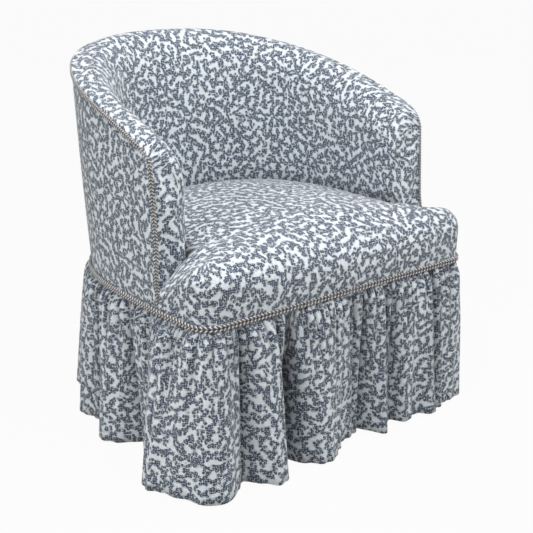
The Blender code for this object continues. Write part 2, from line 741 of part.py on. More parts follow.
def open_loft(sections):
    """An open sheet through loops of points, closed over its last loop."""
    shape = bmesh.new()
    rings = [[shape.verts.new(point) for point in section] for section in sections]
    for first, second in zip(rings, rings[1:]):
        for k in range(len(first)):
            j = (k + 1) % len(first)
            shape.faces.new((first[k], first[j], second[j], second[k]))
    shape.faces.new(rings[-1])
    return finished(shape)


def hessian_levels(lift):
    """Loops of the spring cover: flat on the rails' ledge, then up over the springs."""
    ledge = WOOD_IN + FIT + COVER_FIT
    front, back = ledge - lift, SEAT_BACK_INSET - lift
    tops = [
        (seat_outline(ledge, ledge, COVER_FIT, BRAID_HEIGHT), DECK),
        (seat_outline(front + 0.006, back + 0.010, 0.012 - lift, BRAID_HEIGHT), DECK),
        (seat_outline(front + 0.028, back + 0.034, 0.034 - lift, BRAID_HEIGHT), DECK + HESSIAN_RISE),
    ]
    return [raised(points, z + lift) for points, z in tops]


def seat_hessian(chair):
    sheet = place(open_loft(hessian_levels(0.0)), "seat_hessian", HESSIAN, chair)
    solidify(sheet, HESSIAN_THICKNESS, 1)


def seat_pad(chair):
    """Moulded stuffing between the spring cover and the printed cover."""
    lift = HESSIAN_THICKNESS + COVER_FIT
    under = hessian_levels(lift)[1:]
    base = seat_outline(PAD_SKIN, SEAT_BACK_INSET + PAD_SKIN, COVER_FIT + PAD_SKIN, BRAID_HEIGHT)
    waist = BRAID_HEIGHT + SKIRT_HEADING + FIT
    levels = [*reversed(under), raised(base, DECK_TOP), raised(base, waist), *seat_levels(1.4 * PAD_SKIN)]
    place(loft(levels), "seat_pad", FOAM, chair)


# Padded tub

def roll_path(t, skin, foot):
    """The tub's section from the inner wall's foot, over the roll, to the outer edge, inside by skin."""
    deep = ROLL_SKIN_SHARE * skin
    edge = edge_height(t, skin)
    spring_line = edge - ROLL_DROP
    path = [(TUB_WALL - skin, foot), (TUB_WALL - skin, (foot + 2 * spring_line) / 3)]
    steps = 5
    for k in range(steps + 1):
        angle = math.pi / 2 * k / steps
        path.append((ROLL_CREST + (TUB_WALL - ROLL_CREST - skin) * math.cos(angle),
                     spring_line + (ROLL_DROP + ROLL_RISE - deep) * math.sin(angle)))
    steps = 3
    for k in range(1, steps + 1):
        angle = math.pi / 2 * k / steps
        inset = ROLL_CREST - (ROLL_CREST - deep) * math.sin(angle)
        path.append((inset, edge + (ROLL_RISE - deep) * math.cos(angle)))
    return path


def inside_cover(chair):
    """Printed cover of the inside back and arms: over the roll, and across the fronts of the arms."""
    foot = DECK_TOP + FIT
    lap = BRAID_WIDTH / 4
    shape = bmesh.new()
    rows = []
    for t in range(LAST + 1):
        path = roll_path(t, 0.0, foot)
        path.append((0.0, edge_height(t) - lap))
        rows.append([shape.verts.new(tub_point(t, inset, z)) for inset, z in path])
    for first, second in zip(rows, rows[1:]):
        for k in range(len(first) - 1):
            shape.faces.new((first[k], first[k + 1], second[k + 1], second[k]))
    for t, row in ((0, rows[0]), (LAST, rows[-1])):
        corner = shape.verts.new(tub_point(t, 0.0, foot))
        loop = [*row, corner]
        shape.faces.new(loop if t else reversed(loop))
    bmesh.ops.reverse_faces(shape, faces=shape.faces)
    cover = place(finished(shape), "inside_cover", PRINT, chair)
    solidify(cover, COVER_THICKNESS, -1)


def tub_pad(chair):
    """Shaped padding inside the tub, hooked over the top rail."""
    inner = WOOD_IN + 2 * FIT + HESSIAN_THICKNESS
    front = from_front(ARM_POST_SETBACK * 0.55)
    sections = []
    for t in span(front, LAST - front):
        path = roll_path(t, PAD_SKIN, DECK_TOP)
        under = edge_height(t) - TOP_PAD + FIT
        path += [(ROLL_SKIN_SHARE * PAD_SKIN, under), (inner, under), (inner, DECK_TOP)]
        sections.append([tub_point(t, inset, z) for inset, z in path])
    place(loft(sections), "tub_pad", FOAM, chair)


def tub_layers(chair):
    """The sheets on both faces of the tub's frame."""
    front = from_front(ARM_POST_SETBACK)
    hessian = tub_strip(front, LAST - front, WOOD_IN + FIT, WOOD_IN + FIT + HESSIAN_THICKNESS,
                        constant(DECK_TOP), below_edge(TOP_PAD + FIT))
    place(hessian, "tub_hessian", HESSIAN, chair)
    padding = COVER_THICKNESS + COVER_FIT
    wadding = tub_strip(front, LAST - front, padding, padding + WADDING_THICKNESS,
                        constant(BRAID_HEIGHT + FIT), below_edge(TOP_PAD + FIT))
    place(wadding, "outside_wadding", WADDING, chair)
    lap = BRAID_WIDTH / 4 + 2 * COVER_FIT
    start = from_front(2 * COVER_THICKNESS)
    cover = tub_strip(start, LAST - start, 0.0, COVER_THICKNESS, constant(COVER_FOOT), below_edge(lap))
    place(cover, "outside_cover", PRINT, chair)


# Outline of the whole chair, for what goes right round it

def whole_outline(steps, z=BRAID_HEIGHT):
    """Points and outward normals round the covers at a height, evenly spaced in each stretch."""
    made = []
    front = HALF_WIDTH - CORNER_RADIUS
    for k in range(4 * steps):
        made.append((Vector((-front + 2 * front * k / (4 * steps), -SEAT_FRONT)), Vector((0, -1))))
    for k in range(steps):
        angle = math.pi / 2 * (k / steps - 1)
        normal = Vector((math.cos(angle), math.sin(angle)))
        made.append((Vector((front, CORNER_RADIUS - SEAT_FRONT)) + CORNER_RADIUS * normal, normal))
    start = CORNER_RADIUS - SEAT_FRONT
    side = lean_back(z) - start
    for k in range(2 * steps):
        made.append((Vector((HALF_WIDTH, start + side * k / (2 * steps))), Vector((1, 0))))
    for k in range(8 * steps):
        angle = math.pi * k / (8 * steps)
        point = back_point(angle, 0, z)
        made.append((point, (point - back_point(angle, 0.01, z)).normalized()))
    for k in range(2 * steps):
        made.append((Vector((-HALF_WIDTH, lean_back(z) - side * k / (2 * steps))), Vector((-1, 0))))
    for k in range(steps):
        angle = math.pi + math.pi / 2 * k / steps
        normal = Vector((math.cos(angle), math.sin(angle)))
        made.append((Vector((-front, CORNER_RADIUS - SEAT_FRONT)) + CORNER_RADIUS * normal, normal))
    return [(tapered(point), normal) for point, normal in made]


def outline_at(shares):
    """Points and normals at rising shares of the way round the covers, from the middle of the front."""
    steps = 60
    dense = whole_outline(steps)
    dense = dense[2 * steps:] + dense[:2 * steps + 1]
    reached = [0.0]
    for (first, _), (second, _) in zip(dense, dense[1:]):
        reached.append(reached[-1] + (second - first).length)
    found = []
    k = 0
    for share in shares:
        length = reached[-1] * share
        while reached[k + 1] < length:
            k += 1
        part = (length - reached[k]) / (reached[k + 1] - reached[k])
        point = dense[k][0].lerp(dense[k + 1][0], part)
        found.append((point, dense[k][1].lerp(dense[k + 1][1], part).normalized()))
    return found


SKIRT_IN = COVER_FIT + lean_back(BRAID_HEIGHT + SKIRT_HEADING)
SKIRT_OUT = SKIRT_IN + SKIRT_THICKNESS


def folded():
    """(share of the way round, how far the hem stands out) at each crest and hollow, and between them."""
    made = []
    for (start, first), (end, second) in zip(FOLD_SHARES, FOLD_SHARES[1:] + FOLD_SHARES[:1]):
        for k in range(FOLD_POINTS):
            step = k / FOLD_POINTS
            rise = 1 - (1 - step) ** FOLD_FULLNESS if second > first else step ** FOLD_FULLNESS
            share = start + step * ((end - start) % 1.0)
            made.append((share, FOLD_DEPTH * (first + (second - first) * rise)))
    return made


def skirt(chair):
    """Gathered skirt: it swells under its heading and falls into uneven folds that deepen to the hem."""
    hem = folded()
    ring = outline_at([share for share, _ in hem])
    top = BRAID_HEIGHT - SKIRT_HEADING - COVER_FIT
    heading = BRAID_HEIGHT + SKIRT_HEADING
    sections = [[Vector((*(point + SKIRT_IN * normal), heading)) for point, normal in ring]]
    for fall in (0.0, 0.06, 0.3, 1.0):
        z = top + (HEM_HEIGHT - top) * fall
        swell = GATHER_SWELL * (1 - fall) ** 1.5 * (1 - math.exp(-fall / 0.03))
        outs = [SKIRT_IN + swell + out * fall ** 0.7 for _, out in hem]
        sections.append([Vector((*(point + out * normal), z)) for (point, normal), out in zip(ring, outs)])
    shape = bmesh.new()
    rings = [[shape.verts.new(point) for point in loop] for loop in sections]
    count = len(ring)
    for first, second in zip(rings, rings[1:]):
        for k in range(count):
            j = (k + 1) % count
            shape.faces.new((second[k], second[j], first[j], first[k]))
    cloth = place(finished(shape), "skirt", PRINT, chair)
    solidify(cloth, SKIRT_THICKNESS, 1)


def braid_profile():
    """Two cords side by side on a flat back, as (across, out) pairs."""
    half = BRAID_WIDTH / 2
    deep = BRAID_DEPTH
    return [(-half, deep * 0.5), (-half * 0.58, deep), (0.0, deep * 0.62), (half * 0.58, deep),
            (half, deep * 0.5), (half * 0.6, 0.0), (-half * 0.6, 0.0)]


def braid_sections(path):
    """The braid's profile at each point of a path of (point, along, outward)."""
    sections = []
    for point, along, outward in path:
        across = outward.cross(along).normalized()
        sections.append([point + across * a + outward * b for a, b in braid_profile()])
    return sections


def skirt_braid(chair):
    """Braid round the chair over the skirt's heading."""
    seat = SKIRT_OUT + 0.0012
    ring = [(point + seat * normal, normal) for point, normal in whole_outline(4)]
    path = []
    for k, (point, normal) in enumerate(ring):
        along = ring[(k + 1) % len(ring)][0] - ring[k - 1][0]
        spot = Vector((*point, BRAID_HEIGHT))
        path.append((spot, Vector((*along, 0)).normalized(), Vector((*normal, 0))))
    place(loft(braid_sections(path), closed=True), "skirt_braid", ROPE, chair)


def edge_route():
    """Stations and heights of the edge braid: up the left arm's front, then along to the back's middle."""
    lap = BRAID_WIDTH / 2
    front = from_front(lap)
    foot = BRAID_HEIGHT + SKIRT_HEADING + lap
    bend = between(SLOPES, front) - ARM_CORNER_RADIUS
    route = [(front, foot + (bend - foot) * k / 3) for k in range(4)]
    for k in range(1, ARM_STEPS + 1):
        turn = (ARM_CORNER_RADIUS - lap) * math.cos(math.pi / 2 * k / ARM_STEPS)
        t = from_front(ARM_CORNER_RADIUS - turn)
        route.append((t, between(SLOPES, t) - lap - corner_drop(ARM_CORNER_RADIUS - turn, lap)))
    return route + [(float(t), edge_height(t) - lap) for t in range(LEFT_CORNER, LAST // 2 + 1)]


def edge_braid(chair):
    """Braid up the arms' fronts and along the top of the tub, over the joint of the two covers."""
    half = edge_route()
    route = half + [(LAST - t, z) for t, z in reversed(half) if t < LAST / 2 - 0.1]
    points = [tub_point(t, -COVER_FIT, z) for t, z in route]
    path = []
    for k, (t, z) in enumerate(route):
        along = (points[min(k + 1, len(points) - 1)] - points[max(k - 1, 0)]).normalized()
        outward = (tub_point(t, -0.01, z) - tub_point(t, 0.0, z)).normalized()
        path.append((points[k], along, outward))
    place(loft(braid_sections(path)), "edge_braid", ROPE, chair)


def dust_cover(chair):
    """Black cloth under the frame, cut out round the legs."""
    top = STRAP_TOP - 2 * STRAP_THICKNESS - 2 * FIT
    outline = [point - DUST_COVER_INSET * normal for point, normal in whole_outline(CORNER_STEPS, top)]
    cover = place(prism(outline, top - DUST_COVER_THICKNESS, top), "dust_cover", CAMBRIC, chair)
    room = 0.001
    low, high = top - 0.02, top + 0.02
    for side, word in ((-1, "left"), (1, "right")):
        edge = HALF_WIDTH - FRONT_TAPER - WOOD_OUT - LEG_WIDTH - room
        x = sorted((side * edge, side * (HALF_WIDTH + 0.02)))
        hole = box((x[0], -SEAT_FRONT - 0.02, low), (x[1], -SEAT_FRONT + WOOD_OUT + LEG_WIDTH + room, high))
        cut(cover, hole, f"front_{word}_leg_hole")
    for first, word in ((REAR_POST, "left"), (LAST - REAR_POST - 1, "right")):
        start, end = trimmed(first, -room), trimmed(first + 1, room)
        hole = tub_strip(start, end, -0.02, WOOD_IN + room, constant(low), constant(high))
        cut(cover, hole, f"rear_{word}_leg_hole")


def main():
    for old in list(bpy.data.objects):
        bpy.data.objects.remove(old)
    bpy.context.scene.collection.children.link(COLLECTION)
    bpy.context.scene.collection.children.link(CUTTERS)
    chair = bpy.data.objects.new("tub_chair", None)
    COLLECTION.objects.link(chair)
    front_legs(chair)
    rear_posts(chair)
    arm_posts(chair)
    top_rails(chair)
    seat_rails(chair)
    front_blocks(chair)
    rear_blocks(chair)
    glides(chair)
    webbing(chair)
    springs(chair)
    seat_hessian(chair)
    seat_pad(chair)
    seat_cover(chair)
    tub_pad(chair)
    tub_layers(chair)
    inside_cover(chair)
    skirt(chair)
    skirt_braid(chair)
    edge_braid(chair)
    dust_cover(chair)
    centre(chair)


def centre(chair):
    """Shifts the chair so that its box stands centred over the origin."""
    bpy.context.view_layer.update()
    seen = bpy.context.evaluated_depsgraph_get()
    corners = [
        part.matrix_world @ Vector(corner)
        for part in COLLECTION.objects if part.type == "MESH"
        for corner in part.evaluated_get(seen).bound_box
    ]
    for axis in (0, 1):
        places = [corner[axis] for corner in corners]
        chair.location[axis] = -(min(places) + max(places)) / 2


main()
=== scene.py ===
# %% [markdown]
# # Dressing a skirted tub chair
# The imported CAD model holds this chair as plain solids: a beech frame, a sprung seat, the covers, two
# braids and a skirt. This lesson loads it, sets the camera and the light, makes each finish, and then
# models what the eye meets: the padded tub, its outside panel, the tight seat, the gathered skirt and the
# twisted rope braid.

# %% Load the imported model
import json
import math

import bpy
import numpy as np
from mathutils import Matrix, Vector


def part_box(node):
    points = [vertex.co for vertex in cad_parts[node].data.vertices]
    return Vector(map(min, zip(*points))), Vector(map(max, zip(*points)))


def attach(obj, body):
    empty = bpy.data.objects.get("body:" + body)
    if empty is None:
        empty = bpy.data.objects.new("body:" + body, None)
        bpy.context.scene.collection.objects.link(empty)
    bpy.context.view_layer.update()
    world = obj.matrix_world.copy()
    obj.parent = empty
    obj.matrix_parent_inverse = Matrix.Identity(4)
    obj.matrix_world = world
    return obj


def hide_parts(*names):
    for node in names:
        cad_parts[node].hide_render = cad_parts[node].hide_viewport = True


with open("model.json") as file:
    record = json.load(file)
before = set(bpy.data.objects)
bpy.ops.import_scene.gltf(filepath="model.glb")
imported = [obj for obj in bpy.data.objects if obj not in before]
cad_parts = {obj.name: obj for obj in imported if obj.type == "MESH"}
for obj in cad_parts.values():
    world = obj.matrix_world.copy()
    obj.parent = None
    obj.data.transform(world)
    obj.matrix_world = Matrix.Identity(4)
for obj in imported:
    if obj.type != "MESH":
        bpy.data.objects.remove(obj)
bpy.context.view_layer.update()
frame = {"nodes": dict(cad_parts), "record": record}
NODES = frame["nodes"]

# %% [markdown]
# ## Camera
# The photograph looks down a little on the chair from its front left. Its perspective was solved from the
# braid lines and the arm edges, so the camera stands where that puts it, measured from the front seat
# rail. A 36 mm sensor and the solved focal length in pixels, over a picture 533 pixels wide, give the
# lens. The tiny shift sets the picture's centre.

# %% Camera
PICTURE = 533
FOCAL_PIXELS = 896.6
SENSOR_MM = 36.0
PICTURE_SHIFT = (0.0052, 0.0050)
SEAT_FRONT = 0.237       # from the tub's widest line to the front of the seat
RAIL_SETBACK = 0.0066    # from the front of the seat to the front of its rail
# The curves of this lesson start on the tub's widest line, and this is where the frame has that line
FRAME_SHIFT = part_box("front_seat_rail")[0][1] + SEAT_FRONT - RAIL_SETBACK
CAMERA_SPOT = Vector((-1.0671, -1.3403 + FRAME_SHIFT, 0.8600))
CAMERA_AIM = Vector((-0.0071, FRAME_SHIFT, 0.2788))

bpy.ops.object.select_all(action="DESELECT")
look = (CAMERA_AIM - CAMERA_SPOT).to_track_quat("-Z", "Y").to_euler()
bpy.ops.object.camera_add(location=CAMERA_SPOT, rotation=look)
camera = bpy.context.object
camera.name = "photo_camera"
camera.data.sensor_width = SENSOR_MM
camera.data.lens = SENSOR_MM * FOCAL_PIXELS / PICTURE
camera.data.shift_x, camera.data.shift_y = PICTURE_SHIFT
bpy.context.scene.camera = camera
bpy.context.scene.view_settings.view_transform = "Standard"
print("camera lens", round(camera.data.lens, 2), "mm")

# %% [markdown]
# ## Two small helpers for materials
# Colours are written as sRGB hex values, as a paint chart gives them, and turned to the linear values
# that the shader wants. One function adds a node with its settings and links, so each finish reads as a
# short recipe.

# %% Material helpers


def linear(code):
    """An sRGB hex colour as linear RGBA."""
    parts = [int(code[k:k + 2], 16) / 255 for k in (1, 3, 5)]
    return tuple(p / 12.92 if p <= 0.04045 else ((p + 0.055) / 1.055) ** 2.4 for p in parts) + (1.0,)


def add(tree, kind, inputs=None, **settings):
    """Adds one shader node. inputs maps a socket to a value, or to another node's output."""
    made = tree.nodes.new("ShaderNode" + kind)
    for key, value in settings.items():
        setattr(made, key, value)
    for key, value in (inputs or {}).items():
        if isinstance(value, bpy.types.NodeSocket):
            tree.links.new(value, made.inputs[key])
        else:
            made.inputs[key].default_value = value
    return made


def new_finish(name, **shader):
    """A material with its Principled shader set from socket names in words."""
    made = bpy.data.materials.new(name)
    made.use_nodes = True
    surface = made.node_tree.nodes["Principled BSDF"]
    for key, value in shader.items():
        surface.inputs[key.replace("_", " ")].default_value = value
    return made, made.node_tree, surface


print("sRGB #808080 is linear", round(linear("#808080")[0], 3))

# %% [markdown]
# ## Floor and light
# The photograph is cut out on white. A broad white floor, which shines towards the camera alone, gives
# that ground and keeps a trace of shadow under the skirt. One large soft panel hangs over the front of
# the seat, two stand lower at the left and the right, and the surround is even: the seat's top is then
# the lightest surface.

# %% Floor
FLOOR_SIZE = 60.0
FLOOR_SHINE = 0.95

bpy.ops.object.select_all(action="DESELECT")
bpy.ops.mesh.primitive_plane_add(size=FLOOR_SIZE)
floor = bpy.context.object
floor.name = "studio_floor"
finish, tree, surface = new_finish("painted_studio_floor", Base_Color=linear("#b4b4b1"), Roughness=0.9)
ray = add(tree, "LightPath")
seen = ray.outputs["Is Camera Ray"]
for kind in ("Is Glossy Ray", "Is Transmission Ray"):
    seen = add(tree, "Math", {0: seen, 1: ray.outputs[kind]}, operation="MAXIMUM").outputs[0]
share = add(tree, "Math", {0: seen, 1: FLOOR_SHINE}, operation="MULTIPLY")
shine = add(tree, "Emission", {"Color": (1, 1, 1, 1), "Strength": 1.0})
blend = add(tree, "MixShader", {0: share.outputs[0], 1: surface.outputs[0], 2: shine.outputs[0]})
tree.links.new(blend.outputs[0], tree.nodes["Material Output"].inputs["Surface"])
floor.data.materials.append(finish)
print("floor", tuple(floor.dimensions))

# %% Lights
CHAIR_MIDDLE = Vector((0, 0, 0.4))
SURROUND = 0.26


def soft_panel(name, spot, size, watts):
    """A square softbox that faces the chair."""
    bpy.ops.object.select_all(action="DESELECT")
    turn = (CHAIR_MIDDLE - Vector(spot)).to_track_quat("-Z", "Y").to_euler()
    bpy.ops.object.light_add(type="AREA", location=spot, rotation=turn)
    lamp = bpy.context.object
    lamp.name = name
    lamp.data.size = size
    lamp.data.energy = watts


soft_panel("top_panel", (-0.4, -0.7, 2.4), 1.6, 45.0)
soft_panel("left_panel", (-2.6, -0.3, 1.3), 1.6, 25.0)
soft_panel("right_panel", (2.4, -1.8, 1.8), 1.8, 38.0)
world = bpy.context.scene.world or bpy.data.worlds.new("surround")
bpy.context.scene.world = world
world.use_nodes = True
sky = world.node_tree.nodes["Background"]
sky.inputs["Color"].default_value = (1.0, 1.0, 1.0, 1.0)
sky.inputs["Strength"].default_value = SURROUND

# %% [markdown]
# ## Printed linen
# The covers are a plain-woven linen, printed all over with a traditional vermicular pattern: slate-blue
# branches made of round lobes on an off-white ground, with dark rims, a thin drab line echoing each
# branch, and pale pin dots inside the blue. Gabor noise has one wavelength, so it makes branches of even
# width. It is read at the centre of each cell of a Voronoi texture, and a cell that is chosen prints one
# round lobe. Lobes that touch grow together into a branch. The next nearest centre is read too, so that a
# lobe stays round where it reaches into another cell, and the drab line keeps an even distance from it.
# The pattern reads each piece's own UV map, laid out in metres of cloth, so it bends and gathers. Where
# cloth is shut in, in gathers and joints, shade is painted into its colour to darken it: those pieces keep
# an attribute that says how far each point is shut in.

# %% Lobes of the print
BRANCH_MM = 19.5      # from one branch to the next
LOBE_MM = 4.8         # from one lobe to the next along a branch
LOBE_RADIUS = 0.60    # of a lobe, as a share of LOBE_MM
PRINT_EDGE = 0.452    # the noise's value at the edge of a branch
WAVES = 1.7           # wavelengths across one cell of the noise
WANDER_MM = 20        # length over which the rows of lobes wander
WANDER = 0.005        # how far they wander, in metres


def lobe_field(tree, cloth):
    """How far a point lies inside the nearest lobe, as a share of LOBE_MM, and below zero outside."""
    wander = add(tree, "TexNoise", {"Vector": cloth, "Scale": 1000 / WANDER_MM, "Detail": 1.0})
    wander = add(tree, "VectorMath", {0: wander.outputs["Color"], 1: (0.5, 0.5, 0.5)}, operation="SUBTRACT")
    place = add(tree, "VectorMath", {0: wander.outputs[0], 1: (WANDER, WANDER, 0.0), 2: cloth},
                operation="MULTIPLY_ADD").outputs[0]
    fields = []
    for nearest in ("F1", "F2"):
        lobe = add(tree, "TexVoronoi", {"Vector": place, "Scale": 1000 / LOBE_MM, "Randomness": 0.95},
                   voronoi_dimensions="2D", feature=nearest).outputs
        chosen = add(tree, "TexGabor", {"Vector": lobe["Position"], "Scale": 1000 / (WAVES * BRANCH_MM),
                                        "Frequency": WAVES, "Anisotropy": 0.0}).outputs["Value"]
        reach = add(tree, "MapRange", {0: chosen, 1: PRINT_EDGE - 0.01, 2: PRINT_EDGE + 0.01, 3: -1.0,
                                       4: LOBE_RADIUS}).outputs[0]
        fields.append(add(tree, "Math", {0: reach, 1: lobe["Distance"]}, operation="SUBTRACT").outputs[0])
    return add(tree, "Math", {0: fields[0], 1: fields[1]}, operation="MAXIMUM").outputs[0]


print("print: lobes of", LOBE_MM, "mm on branches about", BRANCH_MM, "mm apart")

# %% Printed linen
ECHO_GAP = 0.30       # from a lobe to its echo line, as a share of LOBE_MM
DOT_MM = 4.1          # from one pin dot to the next inside the blue
SLUB_MM = 1.6         # linen threads, drawn about twice as coarse as real ones so that they show
SLUB_LENGTH = 14      # of a slub, as a multiple of its width
PAINTED_SHADE_LEVEL = 0.20          # brightness that the painted shade leaves where cloth is quite shut in


def printed_linen(name, blue, rim, ground, echo, dot):
    """Dull, slightly fuzzy cloth with its print, its threads, and painted shade where it is shut in."""
    made, tree, surface = new_finish(name, Roughness=0.86, Specular_IOR_Level=0.25, Sheen_Weight=0.18,
                                     Sheen_Roughness=0.5)
    cloth = add(tree, "UVMap", uv_map="cloth").outputs[0]
    field = lobe_field(tree, cloth)
    inked = add(tree, "MapRange", {0: field, 1: -0.04, 2: 0.04}).outputs[0]
    rimmed = add(tree, "MapRange", {0: field, 1: 0.10, 2: 0.17, 3: 1.0, 4: 0.0}).outputs[0]
    away = add(tree, "Math", {0: field, 1: ECHO_GAP}, operation="ADD").outputs[0]
    away = add(tree, "Math", {0: away}, operation="ABSOLUTE").outputs[0]
    line = add(tree, "MapRange", {0: away, 1: 0.06, 2: 0.11, 3: 0.8, 4: 0.0}).outputs[0]
    pins = add(tree, "TexVoronoi", {"Vector": cloth, "Scale": 1000 / DOT_MM, "Randomness": 0.5},
               voronoi_dimensions="2D").outputs["Distance"]
    pins = add(tree, "MapRange", {0: pins, 1: 0.16, 2: 0.30, 3: 0.95, 4: 0.0}).outputs[0]
    inside = add(tree, "MapRange", {0: field, 1: 0.05, 2: 0.13}).outputs[0]
    pins = add(tree, "Math", {0: pins, 1: inside}, operation="MULTIPLY").outputs[0]
    pale = add(tree, "Mix", {0: line, 6: linear(ground), 7: linear(echo)}, data_type="RGBA").outputs[2]
    dark = add(tree, "Mix", {0: rimmed, 6: linear(blue), 7: linear(rim)}, data_type="RGBA").outputs[2]
    colour = add(tree, "Mix", {0: inked, 6: pale, 7: dark}, data_type="RGBA").outputs[2]
    colour = add(tree, "Mix", {0: pins, 6: colour, 7: linear(dot)}, data_type="RGBA").outputs[2]
    threads = []
    for wide, high in ((SLUB_MM, SLUB_LENGTH * SLUB_MM), (SLUB_LENGTH * SLUB_MM, SLUB_MM)):
        way = add(tree, "Mapping", {"Vector": cloth, "Scale": (1000 / wide, 1000 / high, 1.0)}).outputs[0]
        threads.append(add(tree, "TexNoise", {"Vector": way, "Scale": 1.0, "Detail": 2.0}).outputs[0])
    slubs = add(tree, "Math", {0: threads[0], 1: threads[1]}, operation="ADD").outputs[0]
    shade = add(tree, "MapRange", {0: slubs, 1: 0.7, 2: 1.3, 3: 0.86, 4: 1.06}).outputs[0]
    # Painted shade: the colour is darkened where the cloth is marked as shut in, in gathers and joints
    painted_shade = add(tree, "Attribute", attribute_name="painted_shade").outputs["Fac"]
    dust = add(tree, "MapRange", {0: painted_shade, 3: 1.0, 4: PAINTED_SHADE_LEVEL}).outputs[0]
    shade = add(tree, "Math", {0: shade, 1: dust}, operation="MULTIPLY").outputs[0]
    tone = add(tree, "VectorMath", {0: colour, "Scale": shade}, operation="SCALE")
    tree.links.new(tone.outputs[0], surface.inputs["Base Color"])
    bump = add(tree, "Bump", {"Height": slubs, "Strength": 0.35, "Distance": 0.0006})
    tree.links.new(bump.outputs[0], surface.inputs["Normal"])
    return made


LINEN = printed_linen("printed_linen", blue="#4c586c", rim="#1f2633", ground="#e0e7ec", echo="#92938f",
                      dot="#c6ced6")
print("finish", LINEN.name, "with", len(LINEN.node_tree.nodes), "nodes")

# %% [markdown]
# ## Twisted cotton rope
# The braid is two twisted cords laid side by side, sewn over the raw edges of the covers. Each cord has
# three plies of soft cotton: two in grey taupe and one with pale threads, which shows as a row of flecks.
# Each ply's number is kept in the UV map, so one material colours them all.

# %% Rope
FIBRES = (7.0, 260.0, 1.0)    # round a ply, and in a metre along it, coarser than real ones so that they show


def cotton_rope():
    """Soft twisted cotton, dull and fuzzy, in three colours of ply."""
    made, tree, surface = new_finish("twisted_cotton_rope", Roughness=0.8, Sheen_Weight=0.25)
    ply = add(tree, "UVMap", uv_map="cloth").outputs[0]
    parts = add(tree, "SeparateXYZ", {0: ply})
    number = add(tree, "Math", {0: parts.outputs[0]}, operation="FLOOR").outputs[0]
    pale = add(tree, "MapRange", {0: number, 1: 1.4, 2: 1.6}).outputs[0]
    dark = add(tree, "MapRange", {0: number, 1: 0.4, 2: 0.6}).outputs[0]
    fibres = add(tree, "Mapping", {"Vector": ply, "Scale": FIBRES})
    fibres = add(tree, "TexNoise", {"Vector": fibres.outputs[0], "Scale": 1.0, "Detail": 3.0}).outputs[0]
    colour = add(tree, "Mix", {0: dark, 6: linear("#88817f"), 7: linear("#4e4a4a")}, data_type="RGBA")
    colour = add(tree, "Mix", {0: pale, 6: colour.outputs[2], 7: linear("#f2f1f1")}, data_type="RGBA")
    shade = add(tree, "MapRange", {0: fibres, 1: 0.3, 2: 0.7, 3: 0.72, 4: 1.12}).outputs[0]
    tone = add(tree, "VectorMath", {0: colour.outputs[2], "Scale": shade}, operation="SCALE")
    tree.links.new(tone.outputs[0], surface.inputs["Base Color"])
    bump = add(tree, "Bump", {"Height": fibres, "Strength": 0.4, "Distance": 0.0005})
    tree.links.new(bump.outputs[0], surface.inputs["Normal"])
    return made


ROPE = cotton_rope()
print("rope finish", ROPE.name)

# %% [markdown]
# ## Finishes of the frame
# The frame shows only from below. Beech is pale, with a fine grain along each leg. The screws and springs
# are drawn steel, the glides moulded nylon, the webbing woven jute, and the cloth under the seat black
# cambric. Each gets its detail from one noise on Object coordinates, scaled in millimetres.

# %% Frame finishes


def plain_finish(name, light, dark, stretch_mm, rough, metal=0.0, depth=0.0003):
    """Two close colours mixed by a noise that is drawn out along some axes, with bump from the same noise."""
    made, tree, surface = new_finish(name, Metallic=metal)
    spot = add(tree, "TexCoord").outputs["Object"]
    grain = add(tree, "Mapping", {"Vector": spot, "Scale": tuple(1000 / mm for mm in stretch_mm)})
    grain = add(tree, "TexNoise", {"Vector": grain.outputs[0], "Scale": 1.0, "Detail": 4.0}).outputs[0]
    sharp = add(tree, "MapRange", {0: grain, 1: 0.35, 2: 0.65}).outputs[0]
    colour = add(tree, "Mix", {0: sharp, 6: linear(dark), 7: linear(light)}, data_type="RGBA")
    tree.links.new(colour.outputs[2], surface.inputs["Base Color"])
    gloss = add(tree, "MapRange", {0: grain, 3: rough - 0.08, 4: rough + 0.08}).outputs[0]
    tree.links.new(gloss, surface.inputs["Roughness"])
    bump = add(tree, "Bump", {"Height": grain, "Strength": 0.3, "Distance": depth})
    tree.links.new(bump.outputs[0], surface.inputs["Normal"])
    return made


FRAME_FINISHES = {
    "beech": plain_finish("planed_beech", "#d2a877", "#b98a5a", (2.2, 2.2, 40.0), 0.5),
    "spring_steel": plain_finish("drawn_spring_steel", "#8f8a86", "#6f6a66", (1.5, 1.5, 6.0), 0.38, 1.0),
    "nylon_glide": plain_finish("moulded_nylon", "#2c2a28", "#201f1d", (1.2, 1.2, 1.2), 0.42),
    "jute_webbing": plain_finish("woven_jute", "#b79a6d", "#8d7149", (2.5, 2.5, 1.0), 0.9, depth=0.0008),
}
CAMBRIC = plain_finish("black_cambric", "#23221f", "#171615", (1.6, 9.0, 1.0), 0.92, depth=0.0004)
slots = {part["node"]: part["material_slot"] for part in frame["record"]["subparts"]}
for name, solid in NODES.items():
    if slots[name] in FRAME_FINISHES:
        solid.data.materials.clear()
        solid.data.materials.append(FRAME_FINISHES[slots[name]])
print({slot: sum(s == slot for s in slots.values()) for slot in FRAME_FINISHES})

# %% [markdown]
# ## The tub's own measure
# The soft pieces follow the same curves as the CAD solids, so those few curves are written again here:
# the plan of the tub, the lean of its back, and the edge that climbs from the arms to the back. A place
# on the tub is a share of the left arm's length, or an angle round the back. Every piece then goes where
# the frame is.

# %% Plan of the tub
HALF_WIDTH = 0.326
FRONT_TAPER = 0.010
TUB_BACK = 0.346
BACK_ROUNDNESS = 2.33
CORNER_RADIUS = 0.036
BRAID_HEIGHT = 0.300
ARM_HEIGHT = 0.571
ARM_FRONT_TOP = 0.098
ARM_FRONT_FOOT = 0.116
BACK_RAKE = 0.093


def lean_back(z):
    """How far the back leans out at a height."""
    return BACK_RAKE * (z - BRAID_HEIGHT)


